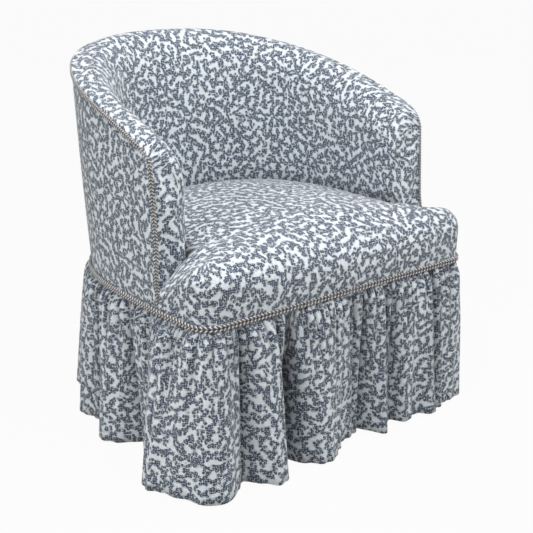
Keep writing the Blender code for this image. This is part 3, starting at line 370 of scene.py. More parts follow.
def arm_front(z):
    """How far ahead of the tub's widest line the arm's front stands."""
    lean = ARM_FRONT_FOOT - ARM_FRONT_TOP
    return ARM_FRONT_FOOT - lean * max(0.0, z - BRAID_HEIGHT) / (ARM_HEIGHT - BRAID_HEIGHT)


def tapered(x, y):
    """The seat narrows a little in front of the arms."""
    share = min(max((-y - ARM_FRONT_FOOT) / (SEAT_FRONT - ARM_FRONT_FOOT), 0.0), 1.0)
    return x * (1 - FRONT_TAPER / HALF_WIDTH * share), y


def tub_point(place, inset, z):
    """A point on the tub's wall, pushed in by inset."""
    kind, value = place
    if kind == "left":
        return np.array((inset - HALF_WIDTH, (value - 1) * arm_front(z) + value * lean_back(z), z))
    across = math.copysign(abs(math.cos(value)) ** (2 / BACK_ROUNDNESS), math.cos(value))
    along = abs(math.sin(value)) ** (2 / BACK_ROUNDNESS)
    normal = np.array((math.copysign(abs(across) ** (BACK_ROUNDNESS - 1), across) / HALF_WIDTH,
                       along ** (BACK_ROUNDNESS - 1) / TUB_BACK))
    x, y = np.array((HALF_WIDTH * across, TUB_BACK * along)) - inset * normal / np.linalg.norm(normal)
    return np.array((x, y + lean_back(z), z))


def lengths_along(points):
    """How far it is from the first of some points to each of them, along the line through them."""
    return np.concatenate([[0], np.cumsum(np.linalg.norm(np.diff(points, axis=0), axis=1))])


def back_places(count):
    """Places at even lengths round the back, from the left arm to the right."""
    angles = np.linspace(math.pi, 0, 3001)
    reached = lengths_along([tub_point(("back", a), 0, BRAID_HEIGHT) for a in angles])
    return [("back", a) for a in np.interp(np.linspace(0, reached[-1], count), reached, angles)]


print("tub", 2 * HALF_WIDTH, "m wide, frame shift", round(FRAME_SHIFT, 4))

# %% Edge of the tub
BACK_HEIGHT = 0.717
EDGE_CROWN = 0.0092
ARM_CORNER = 0.027
PASSES = 12     # the edge leans back as it rises, so its height is found step by step


def slope_height(place):
    """The outer edge's height before the arm's front corner is rounded."""
    run = ARM_FRONT_TOP + TUB_BACK + lean_back(BACK_HEIGHT)
    z = ARM_HEIGHT
    for _ in range(PASSES):
        share = (tub_point(place, 0, z)[1] + ARM_FRONT_TOP) / run
        z = ARM_HEIGHT + (BACK_HEIGHT - ARM_HEIGHT) * share + 4 * EDGE_CROWN * share * (1 - share)
    return z


def edge_height(place):
    """Height of the outer edge, rounded down at the arm's front."""
    kind, value = place
    short = max(0.0, ARM_CORNER - (1.0 if kind == "back" else value) * ARM_FRONT_TOP)
    return slope_height(place) - ARM_CORNER + math.sqrt(ARM_CORNER ** 2 - short ** 2)


def arm_place(distance):
    """The place on the left arm at a distance behind its front."""
    return "left", distance / ARM_FRONT_TOP


def mirrored(grid):
    """A grid of the left half, whose last column is in the middle, with its mirror image added."""
    other = grid[:, -2::-1] * np.array((-1.0, 1.0, 1.0))
    return np.concatenate([grid, other], axis=1)


print("edge at the back", round(edge_height(("back", math.pi / 2)), 4), "m high")

# %% [markdown]
# ## Laying out cloth
# Each cover starts as a flat grid, like a piece of cloth on a table, and its points are moved to where
# the cloth goes. The flat lengths along and across the cloth become its UV map in metres. A shared offset
# per piece keeps the print from lining up at every joint, as on covers cut from one roll.

# %% Lay out cloth


def select_only(*pieces):
    """Selects some pieces and makes the first one active."""
    bpy.ops.object.select_all(action="DESELECT")
    for piece in pieces:
        piece.select_set(True)
    bpy.context.view_layer.objects.active = pieces[0]


def edit(piece, operator, **settings):
    """Runs one edit-mode operator on all of a piece."""
    select_only(piece)
    bpy.ops.object.mode_set(mode="EDIT")
    bpy.ops.mesh.select_all(action="SELECT")
    operator(**settings)
    bpy.ops.object.mode_set(mode="OBJECT")


def cloth_lengths(points, row):
    """UV in metres: lengths along one row, and up each column."""
    u = lengths_along(points[row])
    up = np.linalg.norm(np.diff(points, axis=0), axis=2)
    v = np.concatenate([np.zeros((1, points.shape[1])), np.cumsum(up, axis=0)])
    return np.stack([np.broadcast_to(u, v.shape), v], axis=2)


def lay_cloth(name, points, uv, finish, flip=False, painted_shade=None):
    """A grid primitive whose points are moved to a rows x columns array, with a UV map called cloth."""
    rows, columns = points.shape[:2]
    bpy.ops.object.select_all(action="DESELECT")
    bpy.ops.mesh.primitive_grid_add(x_subdivisions=columns - 1, y_subdivisions=rows - 1, size=1.0)
    piece = bpy.context.object
    piece.name = name
    mesh = piece.data
    flat = np.empty(len(mesh.vertices) * 3)
    mesh.vertices.foreach_get("co", flat)
    flat = flat.reshape(-1, 3)
    column = np.rint((flat[:, 0] + 0.5) * (columns - 1)).astype(int)
    row = np.rint((flat[:, 1] + 0.5) * (rows - 1)).astype(int)
    mesh.vertices.foreach_set("co", (points[row, column] + np.array((0, FRAME_SHIFT, 0))).ravel())
    corners = np.empty(len(mesh.loops), int)
    mesh.loops.foreach_get("vertex_index", corners)
    layer = mesh.uv_layers[0]
    layer.name = "cloth"
    layer.data.foreach_set("uv", uv[row[corners], column[corners]].ravel())
    # An optional attribute of painted shade, which darkens the print where the cloth is shut in
    if painted_shade is not None:
        mesh.attributes.new("painted_shade", "FLOAT", "POINT").data.foreach_set("value", painted_shade[row, column])
    mesh.materials.append(finish)
    mesh.update()
    if flip:
        edit(piece, bpy.ops.mesh.flip_normals)
    bpy.ops.object.shade_smooth()
    return piece


square = np.array([[(0, 0, 0), (1, 0, 0)], [(0, 0, 1), (1, 0, 1)]], float)
print("a square metre of cloth measures", cloth_lengths(square, 0)[-1, -1])

# %% Join and finish
MERGED = 0.00005     # points closer than this become one


def joined(name, *pieces):
    """Joins pieces and merges the points that they share."""
    select_only(*pieces)
    if len(pieces) > 1:
        bpy.ops.object.join()
    piece = bpy.context.object
    piece.name = name
    edit(piece, bpy.ops.mesh.remove_doubles, threshold=MERGED)
    return piece


def finished(piece, kind, **settings):
    """Adds a modifier and applies it."""
    select_only(piece)
    made = piece.modifiers.new(kind.lower(), kind)
    for key, value in settings.items():
        setattr(made, key, value)
    bpy.ops.object.modifier_apply(modifier=made.name)


def coordinates(piece):
    """A piece's points as an array."""
    found = np.empty(len(piece.data.vertices) * 3)
    piece.data.vertices.foreach_get("co", found)
    return found.reshape(-1, 3)


print("points closer than", 1000 * MERGED, "mm are merged")

# %% [markdown]
# ## Padding
# The pads push their covers out wherever no tack, seam or neighbour holds them. Blender's cloth does
# that: the held points are pinned, a gentle pressure swells the rest over some frames, and the result is
# applied. A limit on how far a point may go keeps each cover near its frame.

# %% Padding
PRESSURE = 3.0
FRAMES = 20


def held_points(piece, *grids):
    """The piece's points that lie on the points of some grids."""
    spots = np.concatenate([np.reshape(grid, (-1, 3)) for grid in grids]) + np.array((0, FRAME_SHIFT, 0))
    spots = {tuple(spot) for spot in np.round(spots, 4)}
    return [k for k, point in enumerate(np.round(coordinates(piece), 4)) if tuple(point) in spots]


def puff(piece, pinned, most):
    """Swells a cover with Blender's cloth, its pinned points held, and no point moved further than most."""
    before = coordinates(piece)
    group = piece.vertex_groups.new(name="tacked")
    group.add([int(k) for k in pinned], 1.0, "REPLACE")
    select_only(piece)
    made = piece.modifiers.new("cover", "CLOTH")
    cloth = made.settings
    cloth.quality = 8
    cloth.mass = 0.3
    cloth.tension_stiffness = cloth.compression_stiffness = 25
    cloth.shear_stiffness = 12
    cloth.bending_stiffness = 2
    cloth.use_pressure = True
    cloth.uniform_pressure_force = PRESSURE
    cloth.effector_weights.gravity = 0
    cloth.vertex_group_mass = group.name
    for k in range(1, FRAMES + 1):
        bpy.context.scene.frame_set(k)
    bpy.ops.object.modifier_apply(modifier=made.name)
    bpy.context.scene.frame_set(1)
    piece.vertex_groups.clear()
    step = coordinates(piece) - before
    far = np.linalg.norm(step, axis=1, keepdims=True)
    step *= np.minimum(1.0, most / np.maximum(far, 1e-9))
    piece.data.vertices.foreach_set("co", (before + step).ravel())
    piece.data.update()
    print(piece.name, "swelled up to", round(1000 * float(far.max()), 1), "mm, kept to", 1000 * most)


print("covers swell under a pressure of", PRESSURE, "for", FRAMES, "frames")

# %% [markdown]
# ## Inside of the tub
# A padded cover lines the inside of the back and arms and rolls over the top. It is a grid whose columns
# start at the soft corner of the left arm's front and follow the wall to the middle, and the right half
# mirrors the left. Its rows climb the wall and go over the roll to the edge under the braid. On the arms
# each row measures its own length, so the print isn't stretched where the roll turns down at the front. A
# facing closes the front of each arm, cut with its print upright. Cloth pressure then gives the joined
# cover a padded, pulled look.

# %% Section of the tub
TUB_WALL = 0.074
TUB_FOOT = 0.306
ROLL_RISE = 0.011
BACK_RISE = 0.006       # more of it along the back
ROLL_CREST = 0.034
ROLL_DROP = 0.055
BRAID_WIDTH = 0.016
WALL_ROWS, ROLL_ROWS, EDGE_ROWS = 18, 12, 8


def tub_section(place, skin):
    """(inset, height) pairs from the wall's foot, over the roll, to the outer edge, drawn in by skin."""
    edge = edge_height(place)
    spring = edge - ROLL_DROP
    rise = ROLL_RISE + (BACK_RISE * math.sin(place[1]) if place[0] == "back" else 0.0)
    wall = TUB_WALL - skin
    path = [(wall, z) for z in np.linspace(TUB_FOOT, spring, WALL_ROWS)]
    for turn in np.linspace(0, math.pi / 2, ROLL_ROWS + 1)[1:]:
        path.append((ROLL_CREST + (wall - ROLL_CREST) * math.cos(turn),
                     spring + (ROLL_DROP + rise - skin) * math.sin(turn)))
    for turn in np.linspace(0, math.pi / 2, EDGE_ROWS + 1)[1:]:
        path.append((ROLL_CREST * (1 - math.sin(turn)), edge + (rise - skin) * math.cos(turn)))
    return path + [(0.0, edge - BRAID_WIDTH / 3)]


print("section of the back", len(tub_section(("back", math.pi / 2), 0.0)), "points")

# %% Inside of the tub
SEAT_EDGE = 0.402
FRONT_ROUND = 0.013
HALF_BACK = back_places(91)[:46]         # from the left arm to the back's middle
SEAT_JOINT_SHADE, SEAT_SHADE_FADE = 0.5, 0.010      # painted shade on the lining where the seat shuts it in, and the height that shade fades over
TUB_SWELL = 0.006


def arm_facing(columns):
    """The flat front of the left arm, from its outer edge to the start of the soft corner."""
    front = arm_place(0.0)
    path = tub_section(front, FRONT_ROUND)
    lengths = lengths_along(path)
    top = path[-1][1]
    grid = []
    for (inset, z), length in zip(path, lengths):
        outer = TUB_FOOT + (top - TUB_FOOT) * length / lengths[-1]
        grid.append([tub_point(front, inset * s, z * s + outer * (1 - s))
                     for s in np.linspace(0, 1, columns)])
    return np.array(grid)


turns = np.linspace(0, math.pi / 2, 6)
columns = [(arm_place(FRONT_ROUND * (1 - math.cos(a))), FRONT_ROUND * (1 - math.sin(a))) for a in turns]
columns += [(arm_place(d), 0.0) for d in np.linspace(FRONT_ROUND, ARM_FRONT_TOP, 10)[1:-1]]
columns += [(place, 0.0) for place in HALF_BACK]
half = np.array([[tub_point(place, inset, z) for inset, z in tub_section(place, skin)]
                 for place, skin in columns])
points = mirrored(half.transpose(1, 0, 2))
uv = cloth_lengths(points, WALL_ROWS + 4)
steps = np.linalg.norm(np.diff(points, axis=1), axis=2)
arm = len(columns) - len(HALF_BACK)
uv[:, :arm, 0] = uv[:, arm:arm + 1, 0] - np.cumsum(steps[:, arm - 1::-1], axis=1)[:, ::-1]
uv[:, -arm:, 0] = uv[:, -arm - 1:-arm, 0] + np.cumsum(steps[:, -arm:], axis=1)
facing = arm_facing(9)
facings = (facing, facing[:, ::-1] * np.array((-1, 1, 1)))
# Painted shade on the lining just above the seat, fading upwards
seat_joint_shade = SEAT_JOINT_SHADE * np.exp(-np.maximum(0, points[..., 2] - SEAT_EDGE) / SEAT_SHADE_FADE)
pieces = [lay_cloth("tub_lining", points, uv, LINEN, painted_shade=seat_joint_shade)]
for grid, start, corner in zip(facings, (uv[0, 0, 0], uv[0, -1, 0]), (-1, 0)):
    flat = np.stack([grid[..., 0] - grid[0, corner, 0] + start, grid[..., 2] - TUB_FOOT], axis=2)
    pieces.append(lay_cloth("arm_facing", grid, flat, LINEN))
tub = joined("tub_inside", *pieces)
held = held_points(tub, points[:2], points[-3:], *(grid[[0, 1, -1]] for grid in facings), facing[:, :2],
                   facings[1][:, -2:])
puff(tub, held, TUB_SWELL)
finished(tub, "SUBSURF", levels=1, render_levels=1)
print(tub.name, len(tub.data.polygons), "faces,", len(held), "points held")

# %% [markdown]
# ## Outside panel
# The outside of the back and arms is one thin padded panel, pulled tight from the braid under the seat
# line up to the braid on the edge. It is a plain grid, bowed out by a couple of millimetres by its
# wadding.

# %% Outside panel
PANEL_FOOT = 0.222
PANEL_BOW = 0.002
PANEL_LAP = 0.004                       # from the tub's edge down to the panel's, under the braid
PANEL_THICKNESS = 0.002
PANEL_CUT = np.array((3.17, 0.41))      # where it is cut from the roll of cloth


def panel_point(place, share):
    """A point of the panel at a share of its height."""
    climb = edge_height(place) - PANEL_LAP - PANEL_FOOT
    return tub_point(place, -PANEL_BOW * math.sin(math.pi * share), PANEL_FOOT + climb * share)


places = [arm_place(d) for d in np.linspace(0.001, ARM_FRONT_TOP, 14)[:-1]] + HALF_BACK
points = mirrored(np.array([[panel_point(place, s) for place in places] for s in np.linspace(0, 1, 31)]))
panel = lay_cloth("outside_panel", points, cloth_lengths(points, 10) + PANEL_CUT, LINEN, flip=True)
finished(panel, "SOLIDIFY", thickness=PANEL_THICKNESS, offset=-1)
print(panel.name, len(panel.data.polygons), "faces")

# %% [markdown]
# ## Tight seat
# The seat is T-shaped: it runs back into the tub, and its two ears fill the corners in front of the arms.
# One outline is drawn for the left half and mirrored. Rows of it climb the front, turn over a soft edge,
# and then shrink towards a line along the middle, each a little higher, so that the top is crowned. The
# edge is round in front and tight against the tub, and the ears are pulled down where they meet the arms.
# Cloth pressure fills it.

# %% Outline of the seat
SEAT_BULGE = 0.003
SEAT_FIT, EAR_FIT = 0.0004, 0.0006       # clear of the tub, and of the arms' fronts
ROUNDS = {"front": 0.041, "facing": 0.018, "tub": 0.022}
FEET = {"front": 0.222, "facing": 0.306, "tub": 0.306}
SEAT_PLACES = back_places(81)[:41]
FRONT_POINTS, FACING_POINTS, TUB_POINTS = 35, 7, 46
GROUPS = ["front"] * FRONT_POINTS + ["facing"] * FACING_POINTS + ["tub"] * TUB_POINTS


def seat_half(front_inset, tub_inset, setback, front_z, tub_z):
    """Left half of the seat's outline, from the middle of the front to the middle of the back."""
    radius = max(CORNER_RADIUS - front_inset, 0.004)
    centre = front_inset + radius
    ear = -arm_front(front_z) - setback
    made = [(-(HALF_WIDTH - centre) * k / 16, front_inset - SEAT_FRONT) for k in range(16)]
    made += [(centre - HALF_WIDTH - radius * math.sin(a), centre - SEAT_FRONT - radius * math.cos(a))
             for a in np.linspace(0, math.pi / 2, 9)]
    made += [(front_inset - HALF_WIDTH, y) for y in np.linspace(centre - SEAT_FRONT, ear, 11)[1:]]
    made += [(x - HALF_WIDTH, ear) for x in np.linspace(front_inset, tub_inset, 8)[1:]]
    made += [(tub_inset - HALF_WIDTH, y) for y in np.linspace(ear, lean_back(tub_z), 7)[1:-1]]
    made += [tub_point(place, tub_inset, tub_z)[:2] for place in SEAT_PLACES]
    return np.array([tapered(*point) for point in made])


def seat_row(climb, turn):
    """One row of the seat's side: climb goes from 0 to 1 up the wall, then turn goes over the edge."""
    inset = {g: r * (1 - math.cos(turn)) for g, r in ROUNDS.items()}
    tops = {g: SEAT_EDGE - r + r * math.sin(turn) if turn else FEET[g] + (SEAT_EDGE - r - FEET[g]) * climb
            for g, r in ROUNDS.items()}
    bulge = SEAT_BULGE * (math.sin(math.pi / 2 * climb) ** 2 if not turn else math.cos(turn))
    plan = seat_half(inset["front"] - bulge, TUB_WALL + SEAT_FIT + inset["tub"], EAR_FIT + inset["facing"],
                     tops["facing"], tops["tub"])
    return np.column_stack([plan, [tops[g] for g in GROUPS]])


print("half of the seat's outline", len(GROUPS), "points")

# %% Top of the seat
SEAT_CROWN = 0.024
SEAT_RIDGE = (-0.170, 0.080)             # ends of the line along the middle
EAR_DROOP = 0.70
EAR_REACH = 0.080
EAR_FOOT = 0.312


def ear_drooped(points):
    """The ears' rear outer corners pulled down, following the arms' fronts, which lean forward there."""
    x, y, z = points[..., 0], points[..., 1], points[..., 2]
    outer = np.clip(1 - (HALF_WIDTH - np.abs(x)) / TUB_WALL, 0, 1)
    rear = np.clip(1 - (-ARM_FRONT_FOOT - y) / EAR_REACH, 0, 1)
    share = outer * rear * (y < -ARM_FRONT_TOP)
    low = z - EAR_DROOP * share * np.maximum(0, z - EAR_FOOT)
    front = np.vectorize(arm_front)
    forward = share * np.maximum(0, front(low) - front(np.minimum(z, SEAT_EDGE - ROUNDS["front"])))
    return np.stack([x, y - forward, low], axis=-1)


def crowned(rim, share):
    """The rim drawn in towards the seat's middle line, and lifted."""
    ridge = np.clip(rim[:, 1], *SEAT_RIDGE)
    facing = slice(FRONT_POINTS, FRONT_POINTS + FACING_POINTS)
    ridge[:FRONT_POINTS] = SEAT_RIDGE[0]
    ridge[facing] = np.linspace(SEAT_RIDGE[0], ridge[facing.stop], FACING_POINTS + 2)[1:-1]
    x, y = share * rim[:, 0], ridge + share * (rim[:, 1] - ridge)
    depth = (TUB_BACK - TUB_WALL + SEAT_FRONT) / 2
    dome = (1 - (x / HALF_WIDTH) ** 2) * np.maximum(0, 1 - ((y - depth + SEAT_FRONT) / depth) ** 2)
    return np.column_stack([x, y, SEAT_EDGE + SEAT_CROWN * dome * (1 - share ** 4)])


print("ears pulled down by", EAR_DROOP, "of their height")

# %% Seat
CLIMB_ROWS, TURN_ROWS = 12, 8
SEAT_CUT = np.array((1.31, 2.27))        # where it is cut from the roll of cloth
SEAT_SIDE_SHADE = 0.6                             # painted shade on its sides where they are shut in between the arms
SEAT_SWELL = 0.007

turns = np.linspace(0, math.pi / 2, TURN_ROWS + 1)[1:]
side = np.array([seat_row(c, 0) for c in np.linspace(0, 1, CLIMB_ROWS)] + [seat_row(1, a) for a in turns])
top = np.array([crowned(side[-1], s) for s in (1, .95, .88, .8, .7, .6, .5, .4, .3, .2, .1, 0)])
side, top = (mirrored(ear_drooped(grid)) for grid in (side, top))

lengths = cloth_lengths(side, 8)
middle = side.shape[1] // 2
u = lengths[0, :, 0]
u = np.where(np.arange(len(u)) <= middle, -u, u[-1] - u)
v = lengths[..., 1] - lengths[-1, :, 1] - SEAT_FRONT + ROUNDS["front"]
side_uv = np.stack([np.broadcast_to(u, v.shape), v], axis=2) + SEAT_CUT
in_tub = np.array([group != "front" for group in GROUPS + GROUPS[-2::-1]])
# Painted shade on the seat's sides inside the tub, fading over the edge
seat_side_shade = SEAT_SIDE_SHADE * np.concatenate([np.ones(CLIMB_ROWS), np.cos(turns)])[:, None] * in_tub
walls = lay_cloth("seat_side", side, side_uv, LINEN, flip=True, painted_shade=seat_side_shade)
crest = lay_cloth("seat_top", top, top[..., :2] + SEAT_CUT, LINEN, flip=True)
seat = joined("tight_seat", walls, crest)
round_corner = np.abs(side[0, :, 0]) > HALF_WIDTH - 1.2 * CORNER_RADIUS
held = held_points(seat, side[:16, in_tub], side[:6], side[:14, round_corner])
puff(seat, held, SEAT_SWELL)
finished(seat, "SUBSURF", levels=1, render_levels=1)
print(seat.name, len(seat.data.polygons), "faces,", len(held), "points held")

# %% [markdown]
# ## Gathered skirt
# The skirt is one long strip of the same cloth, drawn up under the braid to about seven tenths of its
# length. Its main folds follow the CAD skirt's: where each crest and hollow sits on the way round, from
# the middle of the front, and how far the hem stands out there. The rest is added here: a few folds close
# up to deep slits, small tucks fan out from the gathering line and fade down the cloth, as gathers do, and
# slight waves run between.

# %% Folds of the skirt
COLUMNS = 1400
FOLD_DEPTH = 0.050
FULLNESS = 1.35          # how round the crests are
SOFTENED = 8             # columns on each side that a fold is softened over
FOLDS = (
    (0.005, 0.26), (0.017, -0.16), (0.031, 0.92), (0.050, 0.24), (0.064, 0.72), (0.079, 0.44), (0.096, 1.00),
    (0.113, 0.52), (0.132, 0.56), (0.147, 0.24), (0.159, 0.12), (0.175, 1.04), (0.205, 0.22), (0.227, 1.40),
    (0.256, -0.12), (0.284, 1.10), (0.309, 0.01), (0.331, 0.92), (0.356, 0.10), (0.381, 1.16), (0.409, 0.15),
    (0.440, 0.91), (0.461, 0.15), (0.481, 0.85), (0.506, 0.09), (0.535, 1.04), (0.560, 0.10), (0.583, 0.84),
    (0.624, 1.12), (0.651, 0.04), (0.681, 0.88), (0.708, 0.12), (0.738, 0.92), (0.761, -0.28), (0.797, 0.28),
    (0.812, 1.12), (0.820, 1.46), (0.838, 1.12), (0.854, 0.92), (0.862, 1.14), (0.873, 0.48), (0.885, 0.16),
    (0.905, 1.16), (0.916, 1.12), (0.921, 0.20), (0.932, -0.36), (0.940, 0.60), (0.959, 1.14), (0.972, 0.92),
    (0.986, 0.32),
)


def outline_ring(count):
    """Points and outward normals at even lengths round the chair, from the front's middle to the right."""
    front, start = HALF_WIDTH - CORNER_RADIUS, CORNER_RADIUS - SEAT_FRONT
    right = [(front * k / 60, -SEAT_FRONT) for k in range(60)]
    right += [(front + CORNER_RADIUS * math.sin(a), start - CORNER_RADIUS * math.cos(a))
              for a in np.linspace(0, math.pi / 2, 31)]
    right += [(HALF_WIDTH, y) for y in np.linspace(start, 0, 40)[1:-1]]
    right += [tuple(tub_point(place, 0, BRAID_HEIGHT)[:2]) for place in back_places(361)[:179:-1]]
    right = np.array([tapered(*point) for point in right])
    dense = np.concatenate([right, right[-2::-1] * np.array((-1, 1))])
    reached = lengths_along(dense)
    at = np.linspace(0, reached[-1], count + 1)[:-1]
    spots = np.column_stack([np.interp(at, reached, dense[:, k]) for k in (0, 1)])
    along = np.roll(spots, -2, axis=0) - np.roll(spots, 2, axis=0)
    normals = np.column_stack([along[:, 1], -along[:, 0]])
    return spots, normals / np.linalg.norm(normals, axis=1, keepdims=True), reached[-1]


spots, normals, around = outline_ring(COLUMNS)
at = np.arange(COLUMNS) * around / COLUMNS
ends = np.array((FOLDS[-1], *FOLDS, FOLDS[0])) * np.array((around, FOLD_DEPTH))
ends[0, 0] -= around
ends[-1, 0] += around
left = np.searchsorted(ends[:, 0], at, side="right") - 1
(low_at, low), (high_at, high) = ends[left].T, ends[left + 1].T
share = (at - low_at) / (high_at - low_at)
hem_out = np.where(high > low, low + (high - low) * (1 - (1 - share) ** FULLNESS),
                   high + (low - high) * (1 - share ** FULLNESS))
window = np.exp(-np.linspace(-3, 3, 2 * SOFTENED + 1) ** 2 / 2)
hem_out = np.concatenate([hem_out[-SOFTENED:], hem_out, hem_out[:SOFTENED]])
hem_out = np.convolve(hem_out, window / window.sum(), "valid")
print(len(FOLDS), "crests and hollows on", round(float(around), 3), "m of seat line")

# %% Gathers of the skirt
SLITS = (0.041, 0.100, 0.709, 0.934)     # where the cloth goes deepest between two folds
HOLLOW = 0.3             # folds that stand out less than this share of FOLD_DEPTH are hollows
SKIRT_FACE = 0.0034      # from the seat's cover to the skirt
PUFF = 0.014             # how far the cloth stands out just below the braid
UNDER_BRAID_SHADE = 0.4        # painted shade just below the braid, where the braid shuts it in
LEAN = 0.02              # most that a small tuck leans on its way down
FAN = 1.2                # how much wider a tuck is at the hem
EASE = 0.6               # how much of it is lost there
WAVE = 0.0016
WAVE_LENGTHS = (0.021, 0.034, 0.055)

falls = np.concatenate([[-.046, -.02, 0, .008, .018], np.linspace(.03, .3, 10), np.linspace(.3, 1, 15)[1:]])
fall = np.clip(falls, 0, 1)[:, None]
out = hem_out * fall ** 0.7 + PUFF * (1 - fall) ** 1.5 * (1 - np.exp(-fall / 0.03))
# Painted shade on the skirt: darkest just under the braid, then in the slits, hollows and tucks
skirt_shade = UNDER_BRAID_SHADE * np.exp(-(fall / 0.05) ** 2) * np.ones(COLUMNS)
# A tuck is its place, width, depth, length in falls, the darkness of its painted shade, how sharp that
# painted shade is, and whether it leans
tucks = [(a * around, .006, .018 + .012 * fall, 1.6, 1.0, 0.5, False) for a in SLITS]
hollows = [a for a, stands_out in FOLDS if stands_out < HOLLOW]
tucks += [(a * around, .0055, .012 + .008 * fall, 1.1, 0.75, 0.7, False) for a in hollows]
chance = np.random.default_rng(7)
place = 0.0
while place < around:
    width, depth, length = (chance.uniform(*span) for span in ((.0030, .0056), (.008, .017), (.08, .34)))
    tucks.append((place, width, depth, length, 0.9, 1.0, True))
    place += chance.uniform(.009, .024)
for place, width, depth, length, dark, sharp, leans in tucks:
    lean = chance.uniform(-LEAN, LEAN) * leans * fall
    gap = np.abs((at - place + around / 2) % around - around / 2 - lean)
    across = np.exp(-(gap / (width * (1 + FAN * fall))) ** 1.3)
    pull = across * np.exp(-(fall / length) ** 1.4) * (1 - EASE * fall ** 3)
    out -= depth * pull * (1 - np.exp(-fall / 0.012))
    # painted shade: the darkest tuck at each point darkens the cloth there
    skirt_shade = np.maximum(skirt_shade, dark * pull ** sharp)
for length in WAVE_LENGTHS:
    turns = round(around / length)
    out += WAVE * fall ** 0.6 * np.sin(2 * math.pi * turns * at / around + chance.uniform(0, 6) + 2 * fall)
deepest = -0.001 - np.clip(0.16 * (fall - 0.24), 0, 0.08)     # the seat rail is behind it at the top
out = SKIRT_FACE + np.maximum(out, deepest)
print(len(tucks), "tucks, the hem stands out up to", round(1000 * float(out.max()), 1), "mm")

# %% Skirt
SKIRT_TOP = 0.307
SKIRT_LINE = 0.294
HEM = 0.006
CLOTH_THICKNESS = 0.0014
ROLLED_OVER = 0.0022     # how far the cloth leans over each hollow
SKIRT_CUT = np.array((5.9, 4.4))

heights = np.where(falls < 0, SKIRT_LINE + (SKIRT_TOP - SKIRT_LINE) * falls / falls[0],
                   SKIRT_LINE + (HEM - SKIRT_LINE) * falls)
slope = (np.roll(out, -1, axis=1) - np.roll(out, 1, axis=1)) * COLUMNS / (2 * around)
along = np.column_stack([-normals[:, 1], normals[:, 0]])
plan = spots + out[..., None] * normals - ROLLED_OVER * np.tanh(slope)[..., None] * along
points = np.concatenate([plan, np.broadcast_to(heights[:, None, None], (*out.shape, 1))], axis=2)[::-1]
points = np.concatenate([points, points[:, :1]], axis=1)
skirt_shade = np.concatenate([skirt_shade, skirt_shade[:, :1]], axis=1)[::-1]
uv = cloth_lengths(points, 6)
skirt = joined("gathered_skirt", lay_cloth("skirt_cloth", points, uv + SKIRT_CUT, LINEN, painted_shade=skirt_shade))
finished(skirt, "SOLIDIFY", thickness=CLOTH_THICKNESS, offset=-1)

# %% [markdown]
# ## Twisted braid
# The braid is two thin ropes sewn side by side, each of three plies. A ply is a thin tube wound round its
# rope's centre line, and the two ropes twist in opposite ways, which gives the braid its row of small
# chevrons. One length goes right round the chair over the skirt's heading. The other climbs the arms and
# follows the top edge.

# %% Rope braid
PLIES = 3
PLY_SIDES = 6
TURN = 2.8               # length of one turn, in radii of the rope
STEPS = 7                # along one turn of a rope
SUNK = 0.002             # how far a rope sinks into the cover


def even_path(points, outward, turn_length, closed):
    """Even steps along a rope's path: points, outward, across, lengths along, and how far it has twisted."""
    if closed:
        points, outward = np.vstack([points, points[:1]]), np.vstack([outward, outward[:1]])
    reached = lengths_along(points)
    turns = round(reached[-1] / turn_length)
    at = np.linspace(0, reached[-1], STEPS * turns + 1)
    points, outward = (np.column_stack([np.interp(at, reached, a[:, k]) for k in range(3)])
                       for a in (points, outward))
    along = np.gradient(points, axis=0)
    if closed:
        along[0] = along[-1] = points[1] - points[-2]
    along /= np.linalg.norm(along, axis=1, keepdims=True)
    across = np.cross(outward, along)
    across /= np.linalg.norm(across, axis=1, keepdims=True)
    return points, np.cross(along, across), across, at, 2 * math.pi * turns * at / at[-1]


def rope_braid(name, points, outward, radius, closed):
    """Two ropes of three plies side by side along a path."""
    points, outward, across, at, wind = even_path(points, outward, TURN * radius, closed)
    ply_radius = radius / 2
    plies = []
    for side in (-1, 1):
        centre = points + across * side * radius + outward * (radius - SUNK)
        for ply in range(PLIES):
            turn = side * wind + 2 * math.pi * ply / PLIES + 0.6 * side
            spine = centre + ply_radius * (np.cos(turn)[:, None] * across + np.sin(turn)[:, None] * outward)
            size = np.full(len(at), ply_radius)
            if not closed:
                size[[0, -1]] = 0
            tube, uv = [], []
            for k in range(PLY_SIDES + 1):
                a = 2 * math.pi * k / PLY_SIDES
                tube.append(spine + size[:, None] * (math.cos(a) * across + math.sin(a) * outward))
                fibre = np.full(len(at), ply + 0.1 + 0.8 * k / PLY_SIDES)
                uv.append(np.column_stack([fibre, at + 0.37 * side]))
            plies.append(lay_cloth("ply", np.array(tube), np.array(uv), ROPE, flip=True))
    return joined(name, *plies)


print("a braid is two ropes of", PLIES, "plies")

# %% Braids
SKIRT_ROPE, EDGE_ROPE = 0.0028, 0.0021     # radius of one rope
RING_POINTS = 800        # round the chair
ON_SKIRT = 0.0036        # from the seat's cover to the braid on the skirt's heading
ON_EDGE = 0.001          # from the tub's cover to the braid on its edge
EDGE_LAP = 0.004         # from the cover's edge to the braid's middle


